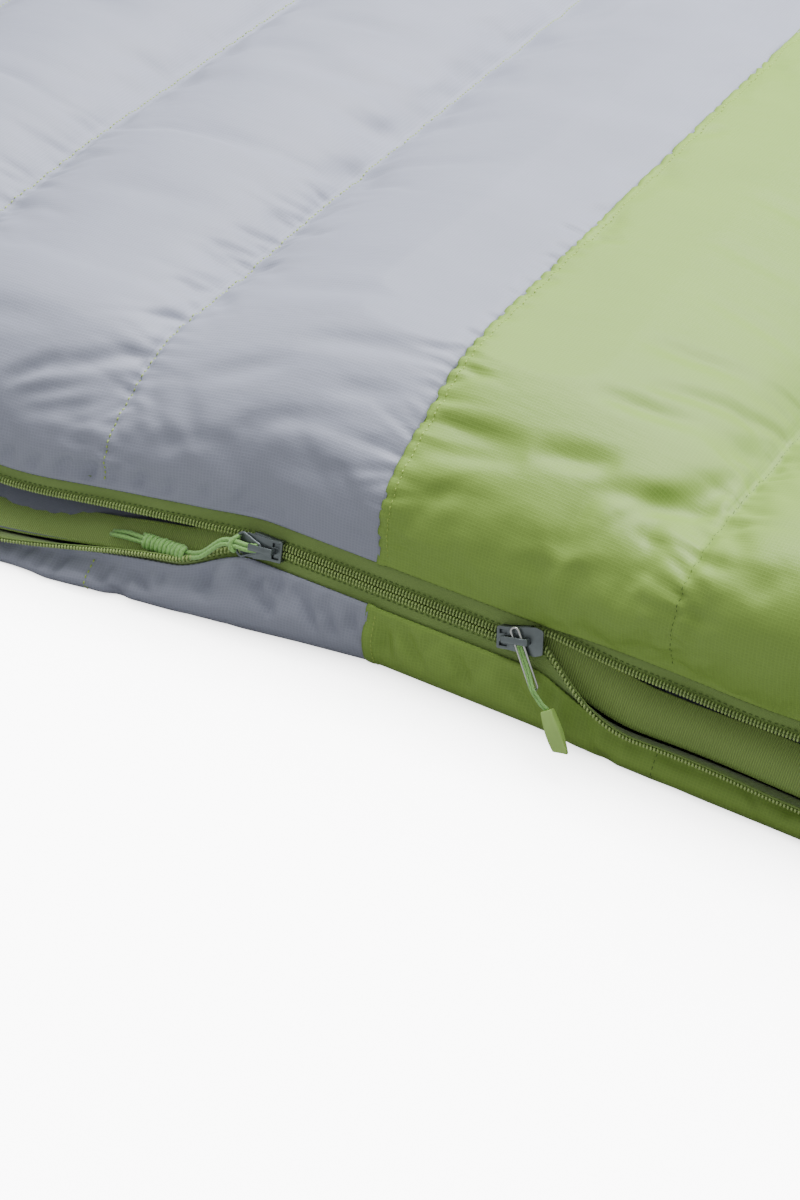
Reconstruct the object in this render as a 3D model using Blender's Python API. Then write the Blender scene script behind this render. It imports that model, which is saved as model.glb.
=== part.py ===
"""Camp quilt, folded in half lengthwise and joined along one long side by a two-way coil zipper.

The origin is under the middle of the folded quilt, X runs along its length (the green head end is
+X), the zipper side is at -Y, the sewn side seam at +Y, and Z is up. Sizes are in metres.
"""

import math

import bmesh
import bpy
from mathutils import Matrix, Vector

# Overall sizes
BAFFLE = 0.160  # from one quilting line to the next
BAFFLE_COUNT = 12
HALF_WIDTH = 0.380
HEIGHT = 0.128  # both layers, lying one on the other
LAYER = 0.052  # thickness of one filled layer

# Cloth
SKIN = 0.0010  # stands for a shell or lining fabric
GAP = 0.0003  # between pieces that touch
HEM_LENGTH = 0.0100
SEAM_TAPE = 0.0010
SEAM_TAPE_WIDTH = 0.0080
SEAM_ROOM = 0.0005  # from the fabrics' far edge to the seam's line

# Zipper
CHAIN_INSET = 0.044  # of the chain from the widest part of the quilt
CHAIN_HEIGHT = 0.050
CHAIN_LEAN = math.radians(24.0)  # the tape leans back from upright by this
COIL_WIDTH = 0.0035
COIL_HEIGHT = 0.0022
COIL_CHAMFER = 0.0006
COIL_INNER = 0.0002  # half of the gap between the closed coils
TAPE = 0.0007
TAPE_INSET = 0.0050  # of the tape's ends from the quilt's ends
LOWER_REACH = 0.0135  # from the chain's middle to the lower tape's sewn edge
UPPER_REACH = 0.0155
LIP = 0.0030  # how far the fabrics run on over the tape
STRIP = 0.0007  # anti-snag strip
STRIP_FOOT = 0.0025
LOWER_STRIP_WIDTH = 0.0200
UPPER_STRIP_WIDTH = 0.0030
STOP_LENGTH = 0.0040
PIN_LENGTH = 0.0120
FILM_LENGTH = 0.0250

# How the lower edge falls away from the closed chain, past each slider
WEDGE = 0.0022  # half of the split that the slider's wedge makes
WEDGE_RUN = 0.0160
FOOT_RUN = 0.050
HEAD_RUN = 0.130
UPPER_LIFT = 0.0030
OPENING_STEPS = math.ceil(COIL_WIDTH / GAP)  # sections where the edge opens: a wide coil needs more

# Sliders
SLIDER_LENGTH = 0.0180
GUARD_LENGTH = 0.0245
TAIL_ROOM = 0.0010  # beside the closed coils
NOSE_ROOM = 0.0002  # beside the split coils
PLATE = 0.0014
PLATE_ROOM = 0.0004  # between the top plate and the coils
TAPE_ROOM = 0.0006  # between the bottom plate and the tapes
RAIL = 0.0009
RAIL_ROOM = 0.0004  # between each rail and the tapes
LAP = 0.0003  # by which the slider's joined shapes reach into each other
NOSE_CORNER = 0.0012
TAIL_CORNER = 0.0008
WEDGE_BACK = 0.0040  # of the wedge's middle from the nose
WEDGE_LENGTH = 0.0050
WEDGE_WIDTH = 0.0020
GUARD = 0.0010
GUARD_CORNER = 0.0009
HEAD_GUARD_HALF = 0.0073
FOOT_GUARD_HALF = 0.0064
CROWN_START = 0.0036
CROWN_HALF = 0.0017
CROWN_WALL = 0.0012
CROWN_ROOM = 0.0029  # height of the tunnel under the crown
HEAD_TAIL_X = 0.0715
HEAD_TURN = math.radians(12.0)
FOOT_TAIL_X = -0.0525
FOOT_TURN = math.radians(6.0)
BAIL_WIRE = 0.0014
LOCK_PIN = 0.0016
LOCK_HOLE = 0.0012  # radius of its hole, and half of its window
CORD = 0.0026
TIP_LENGTH = 0.0220
TIP_WIDTH = 0.0080
TIP_THICKNESS = 0.0050
WHIP_LENGTH = 0.0290
WHIP_DIAMETER = 0.0080
TAIL_STRAND = 0.0200

HALF_LENGTH = BAFFLE * BAFFLE_COUNT / 2
CHAIN_Y = -(HALF_WIDTH - CHAIN_INSET)
SEAM_Y = HALF_WIDTH - 3 * SEAM_TAPE
FOLD_Z = HEIGHT / 2
FOLD_EDGE = 2.6 * SKIN  # of each shell from the fold's line
LINING_LIP = 2.0 * SKIN  # of each lining behind the tape, at its lip
LINING_FOOT = 2.2 * SKIN
TAPE_END = HALF_LENGTH - TAPE_INSET
COIL_LOW = GAP
COIL_HIGH = COIL_LOW + COIL_HEIGHT
SLIDER_TAIL_HALF = COIL_INNER + COIL_WIDTH + TAIL_ROOM + RAIL
SLIDER_NOSE_HALF = COIL_INNER + COIL_WIDTH + WEDGE + NOSE_ROOM + RAIL

GREY = (0.20, 0.21, 0.24)
LINING_GREY = (0.16, 0.17, 0.20)
GREEN = (0.29, 0.39, 0.11)
OLIVE = (0.16, 0.24, 0.07)
MINT = (0.40, 0.60, 0.30)
METAL = (0.14, 0.16, 0.16)
BRIGHT = (0.60, 0.61, 0.60)
FILL = (0.80, 0.80, 0.78)


def clear_scene():
    """Remove every object of the scene."""
    for old in list(bpy.data.objects):
        bpy.data.objects.remove(old, do_unlink=True)


def material(name, colour, roughness, metallic=0.0):
    """Return a Principled material."""
    made = bpy.data.materials.new(name)
    made.use_nodes = True
    shader = made.node_tree.nodes["Principled BSDF"]
    shader.inputs["Base Color"].default_value = (*colour, 1.0)
    shader.inputs["Roughness"].default_value = roughness
    shader.inputs["Metallic"].default_value = metallic
    return made


def add_object(name, bm, look):
    """Turn a bmesh into a named object with one material."""
    bmesh.ops.recalc_face_normals(bm, faces=bm.faces)
    mesh = bpy.data.meshes.new(name)
    bm.to_mesh(mesh)
    bm.free()
    mesh.materials.append(look)
    made = bpy.data.objects.new(name, mesh)
    bpy.context.scene.collection.objects.link(made)
    return made


def smooth(value):
    """Ease from 0 to 1."""
    value = min(1.0, max(0.0, value))
    return value * value * (3.0 - 2.0 * value)


def mix(first, second, share):
    """Blend two (y, z) pairs."""
    return (
        first[0] + (second[0] - first[0]) * share,
        first[1] + (second[1] - first[1]) * share,
    )


def offset(points, distance):
    """Move an open (y, z) outline sideways, to the left of its direction when distance is positive."""
    moved = []
    for index, point in enumerate(points):
        before = Vector(points[max(index - 1, 0)])
        after = Vector(points[min(index + 1, len(points) - 1)])
        here = Vector(point)
        arms = [arm.normalized() for arm in (here - before, after - here) if arm.length > 0]
        normals = [Vector((-arm.y, arm.x)) for arm in arms]
        middle = sum(normals, Vector((0.0, 0.0))).normalized()
        reach = distance / max(0.5, middle.dot(normals[0]))
        moved.append(tuple(here + middle * reach))
    return moved


def loft(name, stations, ring_at, look):
    """Build a closed solid from a ring of (y, z) points at each x station."""
    bm = bmesh.new()
    ring = [bm.verts.new((stations[0], y, z)) for y, z in ring_at(stations[0])]
    count = len(ring)
    edges = [bm.edges.new((ring[i], ring[(i + 1) % count])) for i in range(count)]
    bm.faces.new(ring)
    for x in stations[1:]:
        grown = bmesh.ops.extrude_edge_only(bm, edges=edges)["geom"]
        fresh = {item for item in grown if isinstance(item, bmesh.types.BMVert)}
        following = []
        for vert in ring:
            partners = [edge.other_vert(vert) for edge in vert.link_edges]
            following.append(next(other for other in partners if other in fresh))
        for vert, (y, z) in zip(following, ring_at(x)):
            vert.co = (x, y, z)
        ring = following
        edges = [bm.edges.get((ring[i], ring[(i + 1) % count])) for i in range(count)]
    bm.faces.new(ring)
    return add_object(name, bm, look)


# ---------------------------------------------------------------------------------------------
# The two edges along the zipper
# ---------------------------------------------------------------------------------------------


def openness(x):
    """How far the lower edge has fallen open at x: 0 at the closed chain, 1 where it lies flat."""
    if x > 0:
        return smooth((x - HEAD_TAIL_X - GUARD_LENGTH) / HEAD_RUN)
    return smooth((FOOT_TAIL_X - SLIDER_LENGTH - x) / FOOT_RUN)


def split(x):
    """How far a slider's wedge has pushed each coil from the chain's middle at x."""
    past_tail = x - HEAD_TAIL_X if x > 0 else FOOT_TAIL_X - x
    return WEDGE * smooth((past_tail - 0.002) / WEDGE_RUN)


def turn_shift(x):
    """How far the chain's middle leaves its line because each slider sits turned on it."""
    if x > 0:
        along = min(max(x - HEAD_TAIL_X, 0.0), GUARD_LENGTH)
        return math.tan(HEAD_TURN) * along
    along = min(max(FOOT_TAIL_X - x, 0.0), SLIDER_LENGTH)
    return -math.tan(FOOT_TURN) * along


class Edge:
    """The sewn edge of one layer's tape, with directions along the tape and out of the quilt."""

    def __init__(self, upper):
        self.upper = upper
        self.reach = UPPER_REACH if upper else LOWER_REACH

    def state(self, x):
        """Return (base, along, out) at x: a point and two unit directions in the YZ plane."""
        side = 1.0 if self.upper else -1.0
        base = (
            CHAIN_Y + side * self.reach * math.sin(CHAIN_LEAN),
            CHAIN_HEIGHT + side * self.reach * math.cos(CHAIN_LEAN),
        )
        if self.upper:
            base = (base[0], base[1] + UPPER_LIFT * openness(x))
            along = Vector((-math.sin(CHAIN_LEAN), -math.cos(CHAIN_LEAN)))
            return Vector(base), along, Vector((along.y, -along.x))
        rest = (CHAIN_Y - 0.0015, 0.0200) if x > 0 else (CHAIN_Y - 0.0250, 0.0125)
        lean = math.radians(60.0 if x > 0 else 65.0)
        share = openness(x)
        base = mix(base, rest, share)
        angle = -CHAIN_LEAN + (lean + CHAIN_LEAN) * share
        along = Vector((-math.sin(angle), math.cos(angle)))
        return Vector(base), along, Vector((-along.y, along.x))

    def point(self, x, along_tape, outwards):
        """Return (y, z) of a point given along the tape and out of it."""
        base, along, out = self.state(x)
        return tuple(base + along * along_tape + out * outwards)

    def coil_shift(self, x):
        """How far the coil has moved along the tape's direction at x."""
        toward = -turn_shift(x) if self.upper else turn_shift(x)
        return toward * (1.0 - openness(x)) - split(x)


LOWER = Edge(upper=False)
UPPER = Edge(upper=True)

# Outer points of the lower shell past its lip, as (from CHAIN_Y, z), from the chain down to the ground
CLOSED_BULGE = [(-0.0115, 0.033), (-0.0140, 0.024), (-0.0130, 0.013), (-0.0070, 0.004), (0.0050, 0.0)]
FOOT_BULGE = [(-0.0295, 0.0095), (-0.0325, 0.0065), (-0.0320, 0.0035), (-0.0290, 0.0012), (-0.0220, 0.0)]
HEAD_BULGE = [(-0.0070, 0.0165), (-0.0115, 0.0120), (-0.0110, 0.0065), (-0.0070, 0.0020), (0.0020, 0.0)]
# Upper points of the lower lining past its lip, as (from CHAIN_Y, share of the layer's thickness)
CLOSED_LINING = [(0.0060, 0.74), (0.0200, 0.88), (0.0440, 1.0)]
FOOT_LINING = [(-0.0140, 0.40), (0.0060, 0.69), (0.0400, 1.0)]
HEAD_LINING = [(0.0080, 0.577), (0.0200, 0.77), (0.0420, 1.0)]
# Outer points of the upper shell past its lip, as (from CHAIN_Y, share of the height above the lip)
UPPER_WALL = [(-0.0035, 0.17), (-0.0060, 0.42), (0.0020, 0.70), (0.0210, 0.90), (0.0510, 1.0)]
# The far edge, as (from HALF_WIDTH, down from the layer's outer face)
FAR_EDGE = [(-0.1000, 0.0), (-0.0500, 0.010), (-0.0220, 0.028), (-0.0060, 0.050)]


def lower_shell_outline(x):
    """Outer face of the lower shell from its lip to the side seam."""
    target = HEAD_BULGE if x > 0 else FOOT_BULGE
    points = [LOWER.point(x, LIP, GAP + SKIN)]
    for near, far in zip(CLOSED_BULGE, target):
        dy, z = mix(near, far, openness(x))
        points.append((CHAIN_Y + dy, z))
    points.append((0.0, 0.0))
    points += [(HALF_WIDTH + dy, dz) for dy, dz in FAR_EDGE]
    points.append((SEAM_Y - SEAM_ROOM, FOLD_Z - FOLD_EDGE))
    return points


def lower_lining_outline(x):
    """Inner face of the lower lining from its lip to the side seam."""
    target = HEAD_LINING if x > 0 else FOOT_LINING
    points = [LOWER.point(x, LIP, -LINING_LIP), LOWER.point(x, 0.0, -LINING_FOOT)]
    for near, far in zip(CLOSED_LINING, target):
        dy, share = mix(near, far, openness(x))
        points.append((CHAIN_Y + dy, share * LAYER))
    points.append((0.0, LAYER))
    points.append((HALF_WIDTH - 0.080, LAYER))
    points.append((HALF_WIDTH - 0.035, (LAYER + FOLD_Z) / 2 - 0.002))
    points.append((SEAM_Y - SEAM_ROOM, FOLD_Z - GAP))
    return points


def upper_shell_outline(x):
    """Outer face of the upper shell from its lip to the side seam."""
    lip = UPPER.point(x, LIP, GAP + SKIN)
    points = [lip]
    points += [(CHAIN_Y + dy, lip[1] + share * (HEIGHT - lip[1])) for dy, share in UPPER_WALL]
    points.append((0.0, HEIGHT))
    points += [(HALF_WIDTH + dy, HEIGHT - dz) for dy, dz in FAR_EDGE]
    points.append((SEAM_Y - SEAM_ROOM, FOLD_Z + FOLD_EDGE))
    return points


def upper_lining_outline(x):
    """Inner face of the upper lining from its lip to the side seam."""
    face = HEIGHT - LAYER
    points = [UPPER.point(x, LIP, -LINING_LIP), UPPER.point(x, 0.0, -LINING_FOOT)]
    points.append((CHAIN_Y + 0.020, face - 0.002))
    points.append((CHAIN_Y + 0.045, face))
    points.append((0.0, face))
    points.append((HALF_WIDTH - 0.080, face))
    points.append((HALF_WIDTH - 0.035, (face + FOLD_Z) / 2 + 0.002))
    points.append((SEAM_Y - SEAM_ROOM, FOLD_Z + GAP))
    return points


def skin_ring(outline, side):
    """Closed ring of a fabric whose visible face is outline; side is +1 when the fill is on its left."""
    return outline + offset(outline, side * SKIN)[::-1]


def fill_ring(shell, shell_side, lining, lining_side):
    """Closed ring of the fill between a shell and a lining."""
    inset = SKIN + GAP
    outer = offset(shell, shell_side * inset)[2:-1]
    inner = offset(lining, lining_side * inset)[2:-1]
    return outer + inner[::-1]


def stations_between(start, end):
    """Sections at a regular step, closer where the lower edge opens."""
    shares = [index / OPENING_STEPS for index in range(OPENING_STEPS + 1)]
    fine = [FOOT_TAIL_X - SLIDER_LENGTH - FOOT_RUN * share for share in shares]
    fine += [HEAD_TAIL_X + GUARD_LENGTH + HEAD_RUN * share for share in shares]
    wide = [BAFFLE * step for step in range(-BAFFLE_COUNT // 2, BAFFLE_COUNT // 2 + 1, 2)]
    inside = [x for x in fine + wide if start + 0.004 < x < end - 0.004]
    return [start] + sorted(inside) + [end]


def zipper_stations(start, end):
    """The same sections, with more inside the sliders."""
    steps = [index / 6 for index in range(7)]
    extra = [HEAD_TAIL_X + GUARD_LENGTH * step for step in steps]
    extra += [FOOT_TAIL_X - SLIDER_LENGTH * step for step in steps]
    inside = {round(x, 6) for x in stations_between(start, end)[1:-1]}
    inside |= {round(x, 6) for x in extra if start + 0.004 < x < end - 0.004}
    return [start] + sorted(inside) + [end]


def build_layers(looks):
    """Shells, linings, fill and end hems of both layers."""
    panels = {"grey": (-HALF_LENGTH, -GAP / 2), "green": (GAP / 2, HALF_LENGTH)}
    for colour, (start, end) in panels.items():
        look = looks[colour]
        cuts = stations_between(start, end)
        loft(f"lower_shell_{colour}", cuts, lambda x: skin_ring(lower_shell_outline(x), 1), look)
        loft(f"upper_shell_{colour}", cuts, lambda x: skin_ring(upper_shell_outline(x), -1), look)
    cuts = stations_between(-HALF_LENGTH, HALF_LENGTH)
    loft("lower_lining", cuts, lambda x: skin_ring(lower_lining_outline(x), -1), looks["lining"])
    loft("upper_lining", cuts, lambda x: skin_ring(upper_lining_outline(x), 1), looks["lining"])
    loft(
        "lower_fill",
        cuts,
        lambda x: fill_ring(lower_shell_outline(x), 1, lower_lining_outline(x), -1),
        looks["fill"],
    )
    loft(
        "upper_fill",
        cuts,
        lambda x: fill_ring(upper_shell_outline(x), -1, upper_lining_outline(x), 1),
        looks["fill"],
    )
    for end, sign in (("foot", -1.0), ("head", 1.0)):
        cuts = sorted([sign * (HALF_LENGTH + GAP), sign * (HALF_LENGTH + HEM_LENGTH)])
        look = looks["grey"] if end == "foot" else looks["green"]
        loft(
            f"lower_{end}_hem",
            cuts,
            lambda x: lower_shell_outline(x) + lower_lining_outline(x)[::-1],
            look,
        )
        loft(
            f"upper_{end}_hem",
            cuts,
            lambda x: upper_shell_outline(x) + upper_lining_outline(x)[::-1],
            look,
        )


def build_side_seam(looks):
    """The binding that joins the two layers along the far side."""
    half = SEAM_TAPE_WIDTH / 2
    near = SEAM_Y + GAP
    ring = [
        (near, FOLD_Z - half),
        (near + SEAM_TAPE, FOLD_Z - half),
        (near + SEAM_TAPE, FOLD_Z + half),
        (near, FOLD_Z + half),
    ]
    loft("side_seam_binding", [-HALF_LENGTH, HALF_LENGTH], lambda x: ring, looks["olive"])


def band(name, edge, start, end, near, far, low, high, look, chamfer=0.0):
    """A bar on a tape, from near to far along the tape and from low to high out of it."""

    def ring(x):
        shift = edge.coil_shift(x)
        inner = near + shift
        outer = far + shift
        corners = [(inner, low), (outer, low), (outer, high - chamfer)]
        if chamfer:
            corners += [(outer - chamfer, high), (inner + chamfer, high)]
        corners.append((inner, high - chamfer))
        return [edge.point(x, along, out) for along, out in corners]

    return loft(name, zipper_stations(start, end), ring, look)


def tape(name, edge, far, look):
    """A tape from its sewn edge to the far side of its coil."""
    near = far - COIL_WIDTH

    def ring(x):
        shift = edge.coil_shift(x)
        stops = [0.0, LIP, near + shift, far + shift]
        corners = [(stop, -TAPE) for stop in stops] + [(stop, 0.0) for stop in reversed(stops)]
        return [edge.point(x, along, out) for along, out in corners]

    return loft(name, zipper_stations(-TAPE_END, TAPE_END), ring, look)


def strip(name, edge, width, look):
    """Ribbed anti-snag strip, sewn at the lining's lip and standing behind the chain."""
    start_out = -LINING_LIP - GAP - STRIP / 2
    open_lean = {True: math.radians(45.0), False: math.radians(55.0)}
    side = -1.0 if edge.upper else 1.0

    def ring(x):
        share = 0.0 if edge.upper else openness(x)
        foot_lean = CHAIN_LEAN + math.radians(35.0)
        blade_lean = CHAIN_LEAN + math.radians(5.0)
        foot_lean += (open_lean[x > 0] - foot_lean) * share
        blade_lean += (open_lean[x > 0] - blade_lean) * share
        if edge.upper:
            foot_lean -= 2.0 * math.radians(35.0)
            blade_lean = CHAIN_LEAN
        first = Vector(edge.point(x, LIP - 0.0004, start_out))
        second = first + side * STRIP_FOOT * Vector((math.sin(foot_lean), math.cos(foot_lean)))
        third = second + side * width * Vector((math.sin(blade_lean), math.cos(blade_lean)))
        line = [tuple(first), tuple(second), tuple(third)]
        return offset(line, STRIP / 2) + offset(line, -STRIP / 2)[::-1]

    return loft(name, zipper_stations(-TAPE_END + FILM_LENGTH, TAPE_END - STOP_LENGTH), ring, look)


def build_zipper(looks):
    """Tapes, coils, strips, stops, pins and film tabs of both edges."""
    for edge, word in ((LOWER, "lower"), (UPPER, "upper")):
        near = edge.reach - COIL_INNER - COIL_WIDTH
        far = edge.reach - COIL_INNER
        head_stop = TAPE_END - STOP_LENGTH
        foot_pin = -TAPE_END + PIN_LENGTH
        tape(f"{word}_tape", edge, far, looks["olive"])
        coil = (foot_pin + GAP, head_stop - GAP, near, far, COIL_LOW, COIL_HIGH)
        band(f"{word}_coil", edge, *coil, looks["coil"], chamfer=COIL_CHAMFER)
        stop = (head_stop, TAPE_END, near, far, COIL_LOW, COIL_HIGH)
        band(f"{word}_top_stop", edge, *stop, looks["metal"], chamfer=COIL_CHAMFER)
        pin = (-TAPE_END, foot_pin, near, far, COIL_LOW, COIL_HIGH)
        band(f"{word}_foot_pin", edge, *pin, looks["metal"], chamfer=COIL_CHAMFER)
        start = LIP + WEDGE + 2 * GAP
        film = (-TAPE_END, -TAPE_END + FILM_LENGTH - GAP, start, far, -TAPE - 2 * GAP, -TAPE - GAP)
        band(f"{word}_film_tab", edge, *film, looks["olive"])
    strip("lower_anti_snag_strip", LOWER, LOWER_STRIP_WIDTH, looks["strip"])
    strip("upper_anti_snag_strip", UPPER, UPPER_STRIP_WIDTH, looks["strip"])


# ---------------------------------------------------------------------------------------------
# Sliders: u runs from tail to nose, w across and n out of the quilt
# ---------------------------------------------------------------------------------------------

PLATE_TOP = COIL_HIGH + PLATE_ROOM
PLATE_OUT = PLATE_TOP + PLATE
GUARD_LOW = PLATE_OUT + GAP
GUARD_HIGH = GUARD_LOW + GUARD
CROWN_LOW = GUARD_HIGH + GAP
CROWN_UNDER = GUARD_HIGH + CROWN_ROOM
CROWN_TOP = CROWN_UNDER + CROWN_WALL
BAIL_LEVEL = GUARD_HIGH + CROWN_ROOM / 2
CROWN_LENGTH = SLIDER_LENGTH - CROWN_START
LOCK_U = CROWN_START + CROWN_WALL + LOCK_PIN
BAIL_U = (LOCK_U + LOCK_PIN / 2 + SLIDER_LENGTH - CROWN_WALL) / 2
UNDER = -TAPE - TAPE_ROOM


def slider_frame(tail_x, turn, to_head):
    """Matrix from (u, w, n) to world, with its origin at the slider's tail."""
    along = Vector((1.0, 0.0, 0.0))
    across = Vector((0.0, math.sin(CHAIN_LEAN), math.cos(CHAIN_LEAN)))
    out = along.cross(across)
    u = along * math.cos(turn) + across * math.sin(turn)
    if not to_head:
        u = -u
    w = out.cross(u)
    frame = Matrix((u, w, out)).transposed().to_4x4()
    frame.translation = (tail_x, CHAIN_Y, CHAIN_HEIGHT)
    return frame


def prism(outline, low, high, bevel=0.0):
    """Bmesh of an outline in (u, w), extruded from low to high, with its upright edges rounded."""
    bm = bmesh.new()
    face = bm.faces.new([bm.verts.new((u, w, low)) for u, w in outline])
    grown = bmesh.ops.extrude_face_region(bm, geom=[face])["geom"]
    lifted = [item for item in grown if isinstance(item, bmesh.types.BMVert)]
    bmesh.ops.translate(bm, verts=lifted, vec=(0.0, 0.0, high - low))
    bmesh.ops.recalc_face_normals(bm, faces=bm.faces)
    if bevel:
        upright = [e for e in bm.edges if abs(e.verts[0].co.z - e.verts[1].co.z) > 1e-6]
        bmesh.ops.bevel(
            bm, geom=upright, offset=bevel, affect="EDGES", segments=3, profile=0.5, material=-1
        )
    return bm


def block(u_range, w_range, n_range):
    """Bmesh of a plain block."""
    (u0, u1), (w0, w1) = u_range, w_range
    return prism([(u0, w0), (u1, w0), (u1, w1), (u0, w1)], *n_range)


def boolean(target, bm, operation, frame):
    """Join or cut one helper shape into target."""
    helper = add_object(f"helper_{target.name}_{len(target.modifiers)}", bm, target.data.materials[0])
    helper.matrix_world = frame
    helper.hide_render = True
    helper.display_type = "WIRE"
    step = target.modifiers.new(operation.lower(), "BOOLEAN")
    step.operation = operation
    step.solver = "EXACT"
    step.object = helper


def place(name, bm, look, frame, origin=(0.0, 0.0, 0.0)):
    """Add a slider piece, with its own origin at a point given in (u, w, n)."""
    bmesh.ops.translate(bm, verts=bm.verts, vec=[-value for value in origin])
    made = add_object(name, bm, look)
    made.matrix_world = frame @ Matrix.Translation(origin)
    return made


def body_outline(inset=0.0):
    """Half outline of the slider's plates, from tail to nose."""
    tail, nose = SLIDER_TAIL_HALF - inset, SLIDER_NOSE_HALF - inset
    return [
        (TAIL_CORNER, tail),
        (0.0050, tail),
        (SLIDER_LENGTH - NOSE_CORNER, nose),
        (SLIDER_LENGTH, nose - NOSE_CORNER),
    ]


def mirrored(half):
    """Close a half outline with its mirror image."""
    return [(u, -w) for u, w in half] + list(reversed(half))


def slider_body(name, look, frame):
    """Two plates, side rails and the wedge that joins them."""
    outline = mirrored(body_outline())
    made = place(name, prism(outline, PLATE_TOP, PLATE_OUT), look, frame)
    boolean(made, prism(outline, UNDER - PLATE, UNDER), "UNION", frame)
    middle, half = SLIDER_LENGTH - WEDGE_BACK, WEDGE_LENGTH / 2
    wedge = [(middle - half, 0.0), (middle, -WEDGE_WIDTH / 2)]
    wedge += [(middle + half, 0.0), (middle, WEDGE_WIDTH / 2)]
    boolean(made, prism(wedge, UNDER - LAP, PLATE_TOP + LAP), "UNION", frame)
    outer, inner = body_outline(LAP / 3)[:3], body_outline(RAIL)[:3]
    for side in (-1.0, 1.0):
        rail = [(u, side * w) for u, w in outer + inner[::-1]]
        boolean(made, prism(rail, RAIL_ROOM, PLATE_TOP + LAP), "UNION", frame)
        boolean(made, prism(rail, UNDER - LAP, UNDER + TAPE_ROOM / 2), "UNION", frame)
    hole = bmesh.new()
    bmesh.ops.create_cone(
        hole,
        cap_ends=True,
        segments=12,
        radius1=LOCK_HOLE,
        radius2=LOCK_HOLE,
        depth=3 * PLATE,
        matrix=Matrix.Translation((LOCK_U, 0.0, PLATE_TOP + PLATE / 2)),
    )
    boolean(made, hole, "DIFFERENCE", frame)
    return made


def slider_guard(name, look, frame, nose_half):
    """Anti-snag plate with its lock window and two tail windows."""
    tail = SLIDER_TAIL_HALF
    half = [
        (0.0, tail),
        (0.0060, tail),
        (GUARD_LENGTH - 0.0040, nose_half),
        (GUARD_LENGTH, nose_half - 0.0014),
    ]
    plate = prism(mirrored(half), GUARD_LOW, GUARD_HIGH, bevel=GUARD_CORNER)
    made = place(name, plate, look, frame)
    through = (GUARD_LOW - GUARD, GUARD_HIGH + GUARD)
    across = (-LOCK_HOLE, LOCK_HOLE)
    window = block((LOCK_U - LOCK_HOLE, LOCK_U + LOCK_HOLE), across, through)
    boolean(made, window, "DIFFERENCE", frame)
    for side in (-1.0, 1.0):
        span = sorted((side * (CROWN_HALF + GAP), side * (tail - 0.0014)))
        boolean(made, block((0.0014, 0.0056), span, through), "DIFFERENCE", frame)
    return made


def slider_crown(name, look, frame):
    """Arch that the pull's wire passes under."""
    start, end = CROWN_START, CROWN_START + CROWN_LENGTH
    bm = bmesh.new()
    arch = [
        (start, CROWN_LOW),
        (start, CROWN_TOP - CROWN_WALL / 2),
        (start + CROWN_WALL / 2, CROWN_TOP),
        (end - CROWN_WALL / 2, CROWN_TOP),
        (end, CROWN_TOP - CROWN_WALL / 2),
        (end, CROWN_LOW),
        (end - CROWN_WALL, CROWN_LOW),
        (end - CROWN_WALL, CROWN_UNDER),
        (start + CROWN_WALL, CROWN_UNDER),
        (start + CROWN_WALL, CROWN_LOW),
    ]
    face = bm.faces.new([bm.verts.new((u, -CROWN_HALF, n)) for u, n in arch])
    grown = bmesh.ops.extrude_face_region(bm, geom=[face])["geom"]
    lifted = [item for item in grown if isinstance(item, bmesh.types.BMVert)]
    bmesh.ops.translate(bm, verts=lifted, vec=(0.0, 2 * CROWN_HALF, 0.0))
    return place(name, bm, look, frame)


def slider_lock(name, look, frame):
    """Lock pin that drops between the teeth through the top plate."""
    bm = bmesh.new()
    low = COIL_HIGH + 0.0002
    high = GUARD_HIGH + 0.0006
    bmesh.ops.create_cone(
        bm,
        cap_ends=True,
        segments=12,
        radius1=LOCK_PIN / 2,
        radius2=LOCK_PIN / 2,
        depth=high - low,
        matrix=Matrix.Translation((LOCK_U, 0.0, (low + high) / 2)),
    )
    return place(name, bm, look, frame)


def round_loop(width, start, end):
    """Points of a closed loop with half-round ends, from start to end along its own axis."""
    radius = width / 2
    points = []
    for step in range(9):
        angle = math.pi * step / 8
        points.append((start + radius - radius * math.sin(angle), -radius * math.cos(angle)))
    for step in range(9):
        angle = math.pi * step / 8
        points.append((end - radius + radius * math.sin(angle), radius * math.cos(angle)))
    return points


def tube(name, points, diameter, look, closed=False, resolution=2):
    """Round tube along world points."""
    curve = bpy.data.curves.new(name, "CURVE")
    curve.dimensions = "3D"
    curve.bevel_depth = diameter / 2
    curve.bevel_resolution = resolution
    curve.use_fill_caps = not closed
    line = curve.splines.new("POLY")
    line.points.add(len(points) - 1)
    for slot, point in zip(line.points, points):
        slot.co = (*point, 1.0)
    line.use_cyclic_u = closed
    curve.materials.append(look)
    made = bpy.data.objects.new(name, curve)
    bpy.context.scene.collection.objects.link(made)
    return made


def sampled(points, spacing):
    """Points at a regular spacing along a smooth curve through the given points."""
    given = [Vector(point) for point in points]
    given = [2 * given[0] - given[1]] + given + [2 * given[-1] - given[-2]]
    dense = []
    for index in range(1, len(given) - 2):
        a, b, c, d = given[index - 1 : index + 3]
        for step in range(24):
            t = step / 24
            dense.append(
                0.5
                * (
                    2 * b
                    + (c - a) * t
                    + (2 * a - 5 * b + 4 * c - d) * t**2
                    + (3 * b - a - 3 * c + d) * t**3
                )
            )
    dense.append(given[-2])
    total = sum((b - a).length for a, b in zip(dense, dense[1:]))
    count = max(2, round(total / spacing))
    result, walked, wanted = [dense[0]], 0.0, total / count
    for a, b in zip(dense, dense[1:]):
        walked += (b - a).length
        if walked >= wanted - 1e-9 and len(result) < count:
            result.append(b)
            wanted += total / count
    return result + [dense[-1]]


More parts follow.
